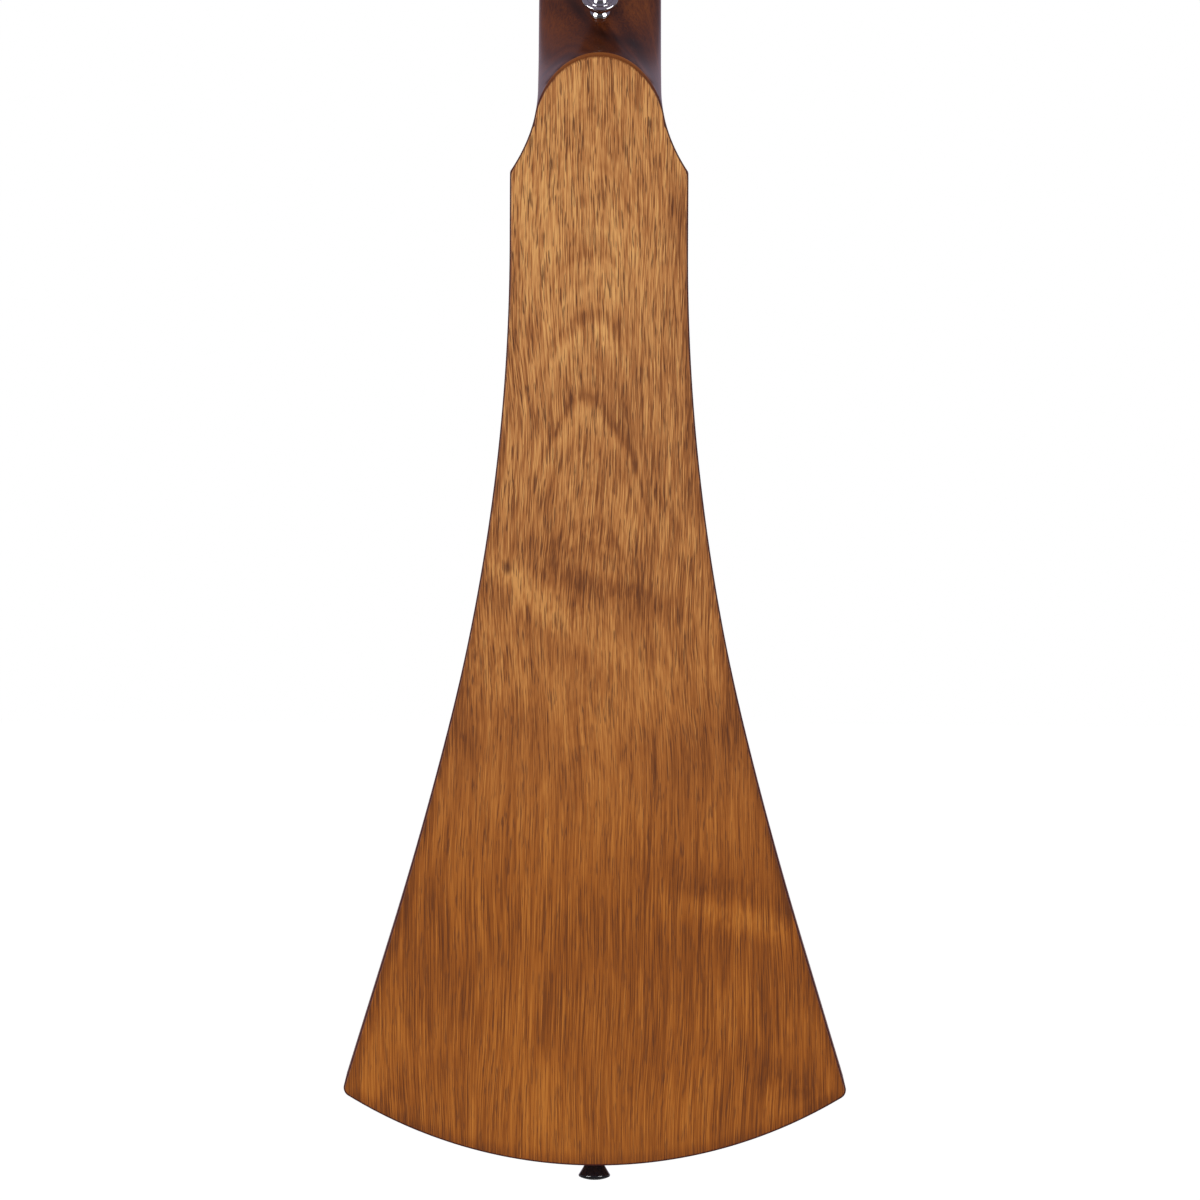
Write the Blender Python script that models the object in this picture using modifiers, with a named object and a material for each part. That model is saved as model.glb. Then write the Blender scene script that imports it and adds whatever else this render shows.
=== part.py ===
"""Travel guitar with a long flared body, modelled as the separate pieces it is built from.

Metres, +Z up along the neck, back towards -Y, strings towards +Y. The origin is on the
centreline, at the front edge of the nut, on the plane where neck and fingerboard are glued.
"""

import math

import bmesh
import bpy
from mathutils import Matrix, Vector

MM = 0.001
GAP = 0.3 * MM

# Strings and fingerboard
SCALE_LENGTH = 609.6 * MM
FRET_COUNT = 18
BODY_FRET = 15
NUT_WIDTH = 43.0 * MM
NECK_WIDTH_AT_BODY = 45.8 * MM
NUT_THICKNESS = 5.0 * MM
NUT_HEIGHT = 7.4 * MM
NUT_SLOT_FLOOR = 6.1 * MM
BOARD_THICKNESS = 5.0 * MM
BOARD_OVERHANG = 4.5 * MM
FRET_HEIGHT = 0.9 * MM
FRET_FOOT = 2.2 * MM
FRET_CROWN = 1.1 * MM
STRING_SPREAD_NUT = 35.5 * MM
STRING_SPREAD_SADDLE = 43.0 * MM
STRING_DIAMETERS = [0.33 * MM, 0.43 * MM, 0.62 * MM, 0.82 * MM, 1.07 * MM, 1.32 * MM]

# Body outline, as distances down from the shoulder
BODY_LENGTH = 366.4 * MM
UPPER_WIDTH = 65.6 * MM
CORNER_TO_CORNER = 186.6 * MM
STRAIGHT_LENGTH = 27.6 * MM
FLARE_KNEE = 206.4 * MM
FLARE_END = 284.5 * MM
KNEE_SLOPE_SHARE = 0.812
TAIL_RADIUS = 175.0 * MM
CORNER_RADIUS = 3.5 * MM
SHOULDER_ROUND = 2.0 * MM
FLARE_STEPS = 13
CORNER_STEPS = 4
TAIL_STEPS = 10

# Body construction
BODY_DEPTH = 50.0 * MM
BACK_THICKNESS = 3.0 * MM
TOP_THICKNESS = 2.6 * MM
RIB_THICKNESS = 2.3 * MM
LINING_WIDTH = 4.5 * MM
LINING_HEIGHT = 9.0 * MM
NECK_BLOCK_LENGTH = 40.0 * MM
TAIL_BLOCK_WIDTH = 62.0 * MM
TAIL_BLOCK_LENGTH = 20.0 * MM
SOUNDHOLE_DIAMETER = 48.0 * MM
SOUNDHOLE_FROM_SHOULDER = 88.0 * MM
BACK_EDGE_ROUND = 0.9 * MM
TONGUE_EDGE_ROUND = 2.6 * MM
TONGUE_EDGE_FADE = 20.0 * MM

# Tongue of the back plate, which runs up onto the heel
TONGUE_LENGTH = 44.0 * MM
TONGUE_HALF_WIDTH = 24.4 * MM
TONGUE_OVAL_LENGTH = 30.0 * MM
NECK_FLARE_LENGTH = 30.0 * MM

# Neck
NECK_DEPTH_NUT = 14.0 * MM
NECK_DEPTH_HEEL = 17.0 * MM
NECK_SIDE_FLAT = 3.0 * MM
HEEL_SCOOP_LENGTH = 36.0 * MM
HEEL_SCOOP_SWEEP = 0.93
HEEL_EDGE = 1.2 * MM
HEEL_ROUND_FADE = 25.0 * MM
HEEL_SETTLE = 12.0 * MM
ELLIPSE_POWER = 2.0
HEEL_POWER = 3.6
TENON_WIDTH = 20.0 * MM
TENON_LENGTH = 15.0 * MM
TENON_DEPTH = 30.0 * MM
BAR_WIDTH = 6.0 * MM
BAR_DEPTH = 9.0 * MM
BAR_FROM_NUT = 12.0 * MM
BAR_LENGTH = 325.0 * MM

# Headstock, in its own tilted frame
HEAD_TILT = math.radians(12.0)
HEAD_LENGTH = 124.0 * MM
HEAD_THICKNESS = 14.0 * MM
HEAD_SHOULDER_HALF = 29.0 * MM
HEAD_SHOULDER_HEIGHT = 12.0 * MM
HEAD_TOP_HALF = 32.0 * MM
HEAD_TOP_RISE = 4.0 * MM
HEAD_ROOT_OVERLAP = 3.0 * MM
HEAD_ROOT_INSET = 0.5 * MM
HEAD_BLEND_LENGTH = 26.0 * MM
HEAD_EDGE = 1.5 * MM
HEAD_CORNER_ROUND = 4.0 * MM

# Tuners
TUNER_FIRST = 27.0 * MM
TUNER_PITCH = 36.0 * MM
POST_SIDE = 17.5 * MM
POST_DIAMETER = 6.0 * MM
POST_WAIST_DIAMETER = 4.8 * MM
POST_HEIGHT = 15.0 * MM
POST_CHAMFER = 0.8 * MM
POST_HOLE_HEIGHT = 11.0 * MM
POST_HOLE_DIAMETER = 2.0 * MM
POST_SCREW_RADIUS = 1.8 * MM
POST_SCREW_HEIGHT = 0.9 * MM
WAIST_FROM_HOLE = 0.6 * MM
WAIST_BELOW_STRING = 2.0 * MM
WAIST_SLOPE = 1.1 * MM
STRING_LEVEL = 5.5 * MM
STRING_TURN_STEP = math.radians(36.0)
STRING_LEAVE = math.radians(1.4)
BUSHING_DIAMETER = 8.6 * MM
BUSHING_FLANGE_DIAMETER = 11.0 * MM
BUSHING_FLANGE_THICKNESS = 1.0 * MM
BUSHING_LENGTH = 7.0 * MM
PLATE_THICKNESS = 1.0 * MM
PLATE_WIDTH = 17.0 * MM
PLATE_END = 9.0 * MM
GEAR_TEETH = 14
GEAR_TIP_RADIUS = 5.3 * MM
GEAR_PITCH_RADIUS = 4.9 * MM
GEAR_ROOT_RADIUS = 4.3 * MM
GEAR_THICKNESS = 2.0 * MM
TOOTH_ROOT_HALF = 0.5 * MM
TOOTH_TIP_HALF = 0.28 * MM
WORM_TIP_RADIUS = 2.6 * MM
WORM_PITCH_RADIUS = 2.2 * MM
WORM_SHAFT_RADIUS = 1.6 * MM
WORM_LENGTH = 7.8 * MM
THREAD_ROOT_HALF = 0.5 * MM
THREAD_TIP_HALF = 0.2 * MM
LUG_THICKNESS = 1.2 * MM
LUG_WIDTH = 7.0 * MM
LUG_OVERHANG = 1.6 * MM
BUTTON_LENGTH = 14.0 * MM
BUTTON_WIDTH = 16.0 * MM
BUTTON_THICKNESS = 6.4 * MM
BUTTON_CLEAR = 5.0 * MM
COLLAR_RADIUS = 2.7 * MM
COLLAR_LENGTH = 4.0 * MM
COLLAR_IN_BUTTON = 2.5 * MM

# Bridge
BRIDGE_WIDTH = 112.0 * MM
BRIDGE_CENTRE_WIDTH = 62.0 * MM
BRIDGE_LENGTH = 27.0 * MM
BRIDGE_HEIGHT = 8.0 * MM
BRIDGE_WING_HEIGHT = 3.2 * MM
BRIDGE_WING_RISE = 0.6 * MM
BRIDGE_RAMP = 6.0 * MM
BRIDGE_EDGE = 0.8 * MM
SADDLE_LENGTH = 58.0 * MM
SADDLE_THICKNESS = 3.0 * MM
SADDLE_SLOT_DEPTH = 4.5 * MM
SADDLE_TOP = 9.9 * MM
SADDLE_EDGE = 0.8 * MM
SADDLE_COMPENSATION = 2.0 * MM
SADDLE_FROM_BRIDGE_FRONT = 8.0 * MM
PIN_FROM_SADDLE = 11.0 * MM
PIN_DIAMETER = 5.0 * MM
PIN_TIP_DIAMETER = 3.7 * MM
PIN_HEAD_DIAMETER = 7.4 * MM
PIN_HEAD_HEIGHT = 3.4 * MM
PIN_POINT = 0.8 * MM
PIN_REACH = 11.0 * MM
PIN_STRING_OFFSET = 3.7 * MM
STRING_BEND = 1.5 * MM
STRING_SLOT_HALF = 1.15 * MM
STRING_SLOT_REACH = 5.6 * MM
BALL_DIAMETER = 2.8 * MM
BALL_LENGTH = 3.2 * MM
BRIDGE_PLATE_WIDTH = 62.0 * MM
BRIDGE_PLATE_LENGTH = 30.0 * MM
BRIDGE_PLATE_THICKNESS = 2.6 * MM

# Braces
BRACE_WIDTH = 7.0 * MM
BRACE_HEIGHT = 11.0 * MM
BRACE_END_HEIGHT = 4.0 * MM
BRACE_END_TAPER = 18.0 * MM
LONG_BRACE_TOP_SIDE = 22.0 * MM
LONG_BRACE_FROM_CORNER = 40.7 * MM
LONG_BRACE_BELOW_HOLE = 8.0 * MM
LONG_BRACE_ABOVE_CORNER = 3.4 * MM
UPPER_BRACE_ABOVE_HOLE = 10.0 * MM

# Strap button on the heel and end pin at the tail
STRAP_FROM_TONGUE = 14.7 * MM
STRAP_BASE_DIAMETER = 7.6 * MM
STRAP_WAIST_DIAMETER = 7.0 * MM
STRAP_FLANGE_DIAMETER = 14.0 * MM
STRAP_HEIGHT = 9.6 * MM
STRAP_BORE_DIAMETER = 4.4 * MM
STRAP_SCREW_DIAMETER = 3.6 * MM
STRAP_SCREW_HEAD_DIAMETER = 7.0 * MM
STRAP_SCREW_HEAD_HEIGHT = 1.8 * MM
STRAP_SCREW_IN_WOOD = 14.0 * MM
STRAP_SCREW_POINT = 3.0 * MM
STRAP_DISH = 1.0 * MM
STRAP_SEAT = 0.45 * MM
END_PIN_BASE_DIAMETER = 8.8 * MM
END_PIN_NECK_DIAMETER = 7.0 * MM
END_PIN_FLANGE_DIAMETER = 11.8 * MM
END_PIN_FLAT_DIAMETER = 4.4 * MM
END_PIN_HEIGHT = 7.7 * MM
END_PIN_FLARE_HEIGHT = 6.1 * MM
END_PIN_NECK_HEIGHT = 1.7 * MM
END_PIN_SHANK_LENGTH = 19.0 * MM

SHOULDER = -SCALE_LENGTH * (1 - 2 ** (-BODY_FRET / 12))
TAIL = SHOULDER - BODY_LENGTH
TONGUE_TOP = SHOULDER + TONGUE_LENGTH
BACK_INNER = -BODY_DEPTH + BACK_THICKNESS
RIB_BACK = BACK_INNER + GAP
RIB_FRONT = -TOP_THICKNESS - GAP
SADDLE_Z = -SCALE_LENGTH - SADDLE_COMPENSATION
BRIDGE_FRONT = SADDLE_Z + SADDLE_FROM_BRIDGE_FRONT
PIN_Z = SADDLE_Z - PIN_FROM_SADDLE
BOARD_END = -SCALE_LENGTH * (1 - 2 ** (-FRET_COUNT / 12)) - BOARD_OVERHANG
CENTRE_DISTANCE = GEAR_PITCH_RADIUS + WORM_PITCH_RADIUS
THREAD_LEAD = 2 * math.pi * GEAR_PITCH_RADIUS / GEAR_TEETH
PLATE_BACK = -HEAD_THICKNESS - GAP - PLATE_THICKNESS
GEAR_LEVEL = PLATE_BACK - GAP - WORM_TIP_RADIUS
WAIST_RADIUS = POST_WAIST_DIAMETER / 2
PIN_SEAT = BRIDGE_HEIGHT + GAP
END_PIN_Y = -BODY_DEPTH / 2

for old in list(bpy.data.objects):
    bpy.data.objects.remove(old)

parts = bpy.data.collections.new("travel_guitar")
tools = bpy.data.collections.new("cutters")
bpy.context.scene.collection.children.link(parts)
bpy.context.scene.collection.children.link(tools)


def material(name, colour, roughness, metallic=0.0):
    made = bpy.data.materials.new(name)
    made.use_nodes = True
    shader = made.node_tree.nodes["Principled BSDF"]
    shader.inputs["Base Color"].default_value = (*colour, 1.0)
    shader.inputs["Roughness"].default_value = roughness
    shader.inputs["Metallic"].default_value = metallic
    return made


BACK_WOOD = material("back_wood", (0.42, 0.19, 0.07), 0.35)
DARK_WOOD = material("dark_wood", (0.10, 0.035, 0.02), 0.25)
TOP_WOOD = material("top_wood", (0.66, 0.43, 0.22), 0.4)
INNER_WOOD = material("inner_wood", (0.60, 0.42, 0.25), 0.6)
BLACK_WOOD = material("black_wood", (0.03, 0.025, 0.022), 0.5)
BONE = material("bone", (0.85, 0.80, 0.68), 0.35)
BLACK_PLASTIC = material("black_plastic", (0.02, 0.02, 0.02), 0.15)
CHROME = material("chrome", (0.80, 0.80, 0.82), 0.1, 1.0)
STEEL = material("steel", (0.60, 0.60, 0.62), 0.3, 1.0)
BRONZE = material("bronze", (0.70, 0.45, 0.25), 0.3, 1.0)
PEARL = material("pearl_plastic", (0.80, 0.76, 0.66), 0.25)


def link(obj, surface=None):
    """Put a piece among the parts, or a cutter among the cutters."""
    for home in list(obj.users_collection):
        home.objects.unlink(obj)
    if surface is None:
        tools.objects.link(obj)
        obj.hide_render = True
        obj.display_type = "WIRE"
        return obj
    parts.objects.link(obj)
    obj.data.materials.append(surface)
    return obj


def mesh_object(name, bm, surface=None):
    bmesh.ops.remove_doubles(bm, verts=bm.verts, dist=1e-7)
    bmesh.ops.recalc_face_normals(bm, faces=bm.faces)
    mesh = bpy.data.meshes.new(name)
    bm.to_mesh(mesh)
    bm.free()
    return link(bpy.data.objects.new(name, mesh), surface)


def add_prism(bm, points, low, high):
    """Extrude an (x, z) outline along Y, from low to high."""
    ring = [bm.verts.new((x, low, z)) for x, z in points]
    face = bm.faces.new(ring)
    moved = bmesh.ops.extrude_face_region(bm, geom=[face])
    tops = [item for item in moved["geom"] if isinstance(item, bmesh.types.BMVert)]
    bmesh.ops.translate(bm, verts=tops, vec=(0, high - low, 0))


def prism(name, points, low, high, surface=None):
    bm = bmesh.new()
    add_prism(bm, points, low, high)
    return mesh_object(name, bm, surface)


def add_box(bm, low, high):
    size = [b - a for a, b in zip(low, high)]
    centre = [(a + b) / 2 for a, b in zip(low, high)]
    place = Matrix.Translation(centre) @ Matrix.Diagonal((*size, 1))
    bmesh.ops.create_cube(bm, size=1, matrix=place)


def box(name, low, high, surface=None):
    bm = bmesh.new()
    add_box(bm, low, high)
    return mesh_object(name, bm, surface)


def add_cylinder(bm, start, end, radius, sides=20):
    """A capped cylinder between two points."""
    start, end = Vector(start), Vector(end)
    run = end - start
    turn = run.to_track_quat("Z", "Y").to_matrix().to_4x4()
    place = Matrix.Translation((start + end) / 2) @ turn
    bmesh.ops.create_cone(
        bm,
        cap_ends=True,
        segments=sides,
        radius1=radius,
        radius2=radius,
        depth=run.length,
        matrix=place,
    )


def boolean(target, tool, operation="DIFFERENCE"):
    change = target.modifiers.new(tool.name, "BOOLEAN")
    change.object = tool
    change.operation = operation
    change.solver = "EXACT"
    return target


def bevel(obj, width, segments=2):
    change = obj.modifiers.new("rounded_edges", "BEVEL")
    change.width = width
    change.segments = segments
    change.limit_method = "ANGLE"
    change.angle_limit = math.radians(40)
    return obj


def turned(name, profile, surface=None, steps=20, closed=False):
    """Turn a (radius, height) profile about Z. It runs down the outer side, top to bottom."""
    bm = bmesh.new()
    verts = [bm.verts.new((radius, 0, height)) for radius, height in profile]
    for first, second in zip(verts, verts[1:]):
        bm.edges.new((first, second))
    if closed:
        bm.edges.new((verts[-1], verts[0]))
    mesh = bpy.data.meshes.new(name)
    bm.to_mesh(mesh)
    bm.free()
    obj = link(bpy.data.objects.new(name, mesh), surface)
    spin = obj.modifiers.new("turned", "SCREW")
    spin.axis = "Z"
    spin.steps = steps
    spin.render_steps = steps
    spin.use_merge_vertices = True
    spin.merge_threshold = 1e-6
    spin.use_smooth_shade = True
    return obj


def baked(obj):
    """Give the object the mesh its modifiers make, so that copies can share it."""
    graph = bpy.context.evaluated_depsgraph_get()
    mesh = bpy.data.meshes.new_from_object(obj.evaluated_get(graph))
    obj.modifiers.clear()
    obj.data = mesh
    return obj


def aim(direction):
    return Vector(direction).to_track_quat("Z", "Y").to_matrix().to_4x4()


def smooth_blend(share):
    share = min(max(share, 0.0), 1.0)
    return share * share * (3 - 2 * share)


# Body outline
def tail_rise(half):
    """How far the tail arc lies above its lowest point, at a distance from the centreline."""
    return TAIL_RADIUS - math.sqrt(TAIL_RADIUS**2 - half**2)


CORNER_DOWN = BODY_LENGTH - tail_rise(CORNER_TO_CORNER / 2)
UPPER_FLARE = FLARE_KNEE - STRAIGHT_LENGTH
LOWER_FLARE = FLARE_END - FLARE_KNEE
FLARE_RUN = KNEE_SLOPE_SHARE * UPPER_FLARE / 2 + (1 + KNEE_SLOPE_SHARE) * LOWER_FLARE / 2
FLARE_SLOPE = (CORNER_TO_CORNER - UPPER_WIDTH) / 2 / (FLARE_RUN + CORNER_DOWN - FLARE_END)
KNEE_SLOPE = FLARE_SLOPE * KNEE_SLOPE_SHARE


def body_half(down):
    """Half the body's width at a distance below the shoulder, and its slope there.

    The side bends quickly down to the knee, slowly down to the flare's end, and then runs
    straight to the corner.
    """
    above = min(max(down - STRAIGHT_LENGTH, 0.0), UPPER_FLARE)
    below = min(max(down - FLARE_KNEE, 0.0), LOWER_FLARE)
    straight = max(down - FLARE_END, 0.0)
    slope = KNEE_SLOPE * above / UPPER_FLARE
    gain = (FLARE_SLOPE - KNEE_SLOPE) * below / LOWER_FLARE
    half = UPPER_WIDTH / 2 + slope * above / 2
    half += (slope + gain / 2) * below + (slope + gain) * straight
    return half, slope + gain


def side_point(down, inset):
    half, slope = body_half(down)
    length = math.hypot(1, slope)
    return half - inset / length, SHOULDER - down - inset * slope / length


def corner_centre(inset):
    """Where a line inset from the straight flare meets a circle inset from the tail arc."""
    centre_z = TAIL + TAIL_RADIUS
    low, high = FLARE_END, BODY_LENGTH
    for _ in range(60):
        middle = (low + high) / 2
        x, z = side_point(middle, inset)
        if math.hypot(x, z - centre_z) < TAIL_RADIUS - inset or z > centre_z:
            low = middle
        else:
            high = middle
    return side_point(low, inset)


def half_outline(inset=0.0, start=0.0, corner_steps=CORNER_STEPS):
    """The right-hand outline of the body from near the shoulder to the tail's middle."""
    points = [side_point(start, inset)]
    first = max(start, STRAIGHT_LENGTH)
    for step in range(FLARE_STEPS + 1):
        down = first + (FLARE_END - first) * step / FLARE_STEPS
        if down > start:
            points.append(side_point(down, inset))
    radius = max(CORNER_RADIUS - inset, GAP)
    centre = Vector(corner_centre(inset + radius))
    arc_centre = Vector((0, TAIL + TAIL_RADIUS))
    radial = centre - arc_centre
    angle_tail = math.atan2(radial.y, radial.x)
    angle_side = math.atan(FLARE_SLOPE)
    for step in range(corner_steps + 1):
        angle = angle_side + (angle_tail - angle_side) * step / corner_steps
        points.append((centre.x + radius * math.cos(angle), centre.y + radius * math.sin(angle)))
    for step in range(1, TAIL_STEPS + 1):
        angle = angle_tail + (-math.pi / 2 - angle_tail) * step / TAIL_STEPS
        reach = TAIL_RADIUS - inset
        points.append((reach * math.cos(angle), arc_centre.y + reach * math.sin(angle)))
    points[-1] = (0.0, points[-1][1])
    return points


def whole(points):
    """Both halves of an outline whose last point lies on the centreline."""
    return points + [(-x, z) for x, z in reversed(points[:-1])]


def neck_half(z):
    """Half the neck's width: a slow taper, then the flare into the shoulder."""
    share = z / SHOULDER
    half = (NUT_WIDTH + (NECK_WIDTH_AT_BODY - NUT_WIDTH) * share) / 2
    flare = max(SHOULDER + NECK_FLARE_LENGTH - z, 0) / NECK_FLARE_LENGTH
    return half + (UPPER_WIDTH - NECK_WIDTH_AT_BODY) / 2 * flare**2


def tongue_half(z):
    """Half the tongue's width: an oval top that runs into the neck's flare."""
    down = TONGUE_TOP - z
    share = max(1 - down / TONGUE_OVAL_LENGTH, 0)
    oval = TONGUE_HALF_WIDTH * math.sqrt(max(1 - share**2, 0))
    return min(oval, neck_half(z))


def tongue_points():
    """The right-hand outline of the tongue, from its top to just above the shoulder."""
    points = []
    for step in range(12):
        angle = math.radians(7.6) * step
        down = TONGUE_OVAL_LENGTH * (1 - math.cos(angle))
        points.append((tongue_half(TONGUE_TOP - down), TONGUE_TOP - down))
    first = TONGUE_TOP - points[-1][1]
    for step in range(1, 8):
        down = first + (TONGUE_LENGTH - SHOULDER_ROUND - first) * step / 7
        points.append((neck_half(TONGUE_TOP - down), TONGUE_TOP - down))
    start = Vector(points[-1])
    corner = Vector((UPPER_WIDTH / 2, SHOULDER))
    end = Vector((UPPER_WIDTH / 2, SHOULDER - SHOULDER_ROUND))
    middle = start / 4 + corner / 2 + end / 4
    return points + [tuple(middle)]


# Body
def make_back_plate():
    """The back with its tongue. Its outer edge is rounded, most at the tongue's top."""
    right = tongue_points() + half_outline(start=SHOULDER_ROUND)
    loop = right + [(-x, z) for x, z in reversed(right[1:-1])]
    count = len(loop)
    bm = bmesh.new()
    rings = [[bm.verts.new((x, BACK_INNER, z)) for x, z in loop]]
    for angle in (0.0, math.pi / 4, math.pi / 2):
        ring = []
        for i, (x, z) in enumerate(loop):
            along = Vector(loop[(i + 1) % count]) - Vector(loop[i - 1])
            inward = Vector((along.y, -along.x)).normalized()
            fade = max(1 - (TONGUE_TOP - z) / TONGUE_EDGE_FADE, 0)
            edge = BACK_EDGE_ROUND + (TONGUE_EDGE_ROUND - BACK_EDGE_ROUND) * fade
            place = Vector((x, z)) + inward * edge * (1 - math.cos(angle))
            level = -BODY_DEPTH + edge * (1 - math.sin(angle))
            ring.append(bm.verts.new((place.x, level, place.y)))
        rings.append(ring)
    bm.faces.new(rings[0])
    bm.faces.new(rings[-1])
    for low, high in zip(rings, rings[1:]):
        for i in range(count):
            j = (i + 1) % count
            bm.faces.new((low[i], low[j], high[j], high[i]))
    return mesh_object("back_plate", bm, BACK_WOOD)


def make_soundboard():
    top = prism("soundboard", whole(half_outline(start=GAP)), -TOP_THICKNESS, 0, TOP_WOOD)
    bm = bmesh.new()
    z = SHOULDER - SOUNDHOLE_FROM_SHOULDER
    add_cylinder(bm, (0, -TOP_THICKNESS - MM, z), (0, MM, z), SOUNDHOLE_DIAMETER / 2, 32)
    boolean(top, mesh_object("soundhole_cutter", bm))
    boolean(top, string_hole_cutter)
    return top


def strip(outer, inner):
    return outer + list(reversed(inner))


def make_ribs():
    outer = half_outline(start=GAP)
    inner = half_outline(RIB_THICKNESS, start=GAP)
    side_end = len(outer) - TAIL_STEPS
    for side, name in ((1, "right_rib"), (-1, "left_rib")):
        run = strip(outer[:side_end], inner[:side_end])
        prism(name, [(side * x, z) for x, z in run], RIB_BACK, RIB_FRONT, DARK_WOOD)
    arc = []
    centre_z = TAIL + TAIL_RADIUS
    outer_end = Vector(outer[side_end - 1]) - Vector((0, centre_z))
    start = math.atan2(outer_end.x, -outer_end.y) - 2 * GAP / TAIL_RADIUS
    for reach in (TAIL_RADIUS, TAIL_RADIUS - RIB_THICKNESS):
        row = []
        for step in range(2 * TAIL_STEPS + 1):
            angle = start * (1 - step / TAIL_STEPS)
            row.append((reach * math.sin(angle), centre_z - reach * math.cos(angle)))
        arc.append(row)
    rib = prism("tail_rib", strip(*arc), RIB_BACK, RIB_FRONT, DARK_WOOD)
    boolean(rib, end_pin_cutter)


def tail_block_top():
    inset = RIB_THICKNESS + GAP
    reach = TAIL_RADIUS - inset
    return TAIL + TAIL_RADIUS - math.sqrt(reach**2 - (TAIL_BLOCK_WIDTH / 2) ** 2) + TAIL_BLOCK_LENGTH


def make_blocks():
    inset = RIB_THICKNESS + GAP
    downs = [GAP, STRAIGHT_LENGTH, NECK_BLOCK_LENGTH]
    right = [side_point(down, inset) for down in downs]
    outline = right + [(-x, z) for x, z in reversed(right)]
    block = prism("neck_block", outline, RIB_BACK, RIB_FRONT, INNER_WOOD)
    half = TENON_WIDTH / 2 + GAP
    low = (-half, RIB_FRONT - TENON_DEPTH - GAP, SHOULDER - TENON_LENGTH - GAP)
    boolean(block, box("mortise_cutter", low, (half, MM, SHOULDER + MM)))
    reach = TAIL_RADIUS - inset
    centre_z = TAIL + TAIL_RADIUS
    swing = math.asin(TAIL_BLOCK_WIDTH / 2 / reach)
    arc = []
    for step in range(7):
        angle = swing * (1 - step / 3)
        arc.append((reach * math.sin(angle), centre_z - reach * math.cos(angle)))
    top = tail_block_top()
    arc += [(-TAIL_BLOCK_WIDTH / 2, top), (TAIL_BLOCK_WIDTH / 2, top)]
    block = prism("tail_block", arc, RIB_BACK, RIB_FRONT, INNER_WOOD)
    boolean(block, end_pin_cutter)


def lining_run(inset):
    """An inset outline from below the neck block to beside the tail block."""
    points = half_outline(inset, start=NECK_BLOCK_LENGTH + GAP, corner_steps=1)
    stop = TAIL_BLOCK_WIDTH / 2 + GAP
    kept = []
    for x, z in points:
        if x < stop and z < SHOULDER - CORNER_DOWN + CORNER_RADIUS:
            last = Vector(kept[-1])
            step = Vector((x, z)) - last
            kept.append(tuple(last + step * ((stop - last.x) / step.x)))
            break
        kept.append((x, z))
    return kept


def make_linings():
    inset = RIB_THICKNESS + GAP
    run = strip(lining_run(inset), lining_run(inset + LINING_WIDTH))
    levels = {
        "top_lining": (RIB_FRONT - LINING_HEIGHT, RIB_FRONT),
        "back_lining": (RIB_BACK, RIB_BACK + LINING_HEIGHT),
    }
    for level_name, (low, high) in levels.items():
        for side, side_name in ((1, "right"), (-1, "left")):
            points = [(side * x, z) for x, z in run]
            prism(f"{side_name}_{level_name}", points, low, high, INNER_WOOD)


def add_brace(bm, start, end, seat, rise):
    """A bar between two (x, z) points, standing off a plate by rise and low at both ends."""
    start, end = Vector(start), Vector(end)
    along = (end - start).normalized()
    across = Vector((along.y, -along.x)) * BRACE_WIDTH / 2
    length = (end - start).length
    taper = min(BRACE_END_TAPER, length / 3)
    stations = [
        (0, BRACE_END_HEIGHT),
        (taper, BRACE_HEIGHT),
        (length - taper, BRACE_HEIGHT),
        (length, BRACE_END_HEIGHT),
    ]
    foot = [(start.x, start.y, 0), (end.x, end.y, 0)]
    crest = []
    for distance, height in reversed(stations):
        point = start + along * distance
        crest.append((point.x, point.y, height))
    rings = []
    for side in (1, -1):
        ring = []
        for x, z, height in foot + crest:
            place = Vector((x, z)) + across * side
            ring.append(bm.verts.new((place.x, seat + rise * height, place.y)))
        rings.append(ring)
    bm.faces.new(rings[0])
    bm.faces.new(list(reversed(rings[1])))
    count = len(rings[0])
    for i in range(count):
        j = (i + 1) % count
        bm.faces.new((rings[0][j], rings[0][i], rings[1][i], rings[1][j]))


def brace(name, start, end, seat, rise):
    bm = bmesh.new()
    add_brace(bm, start, end, seat, rise)
    return mesh_object(name, bm, INNER_WOOD)


def inner_half(down):
    """Half the space between the linings at a distance below the shoulder."""
    inset = RIB_THICKNESS + LINING_WIDTH + 2 * GAP
    half, slope = body_half(down - BRACE_WIDTH / 2)
    return half - (inset + GAP) * math.hypot(1, slope)


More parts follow.
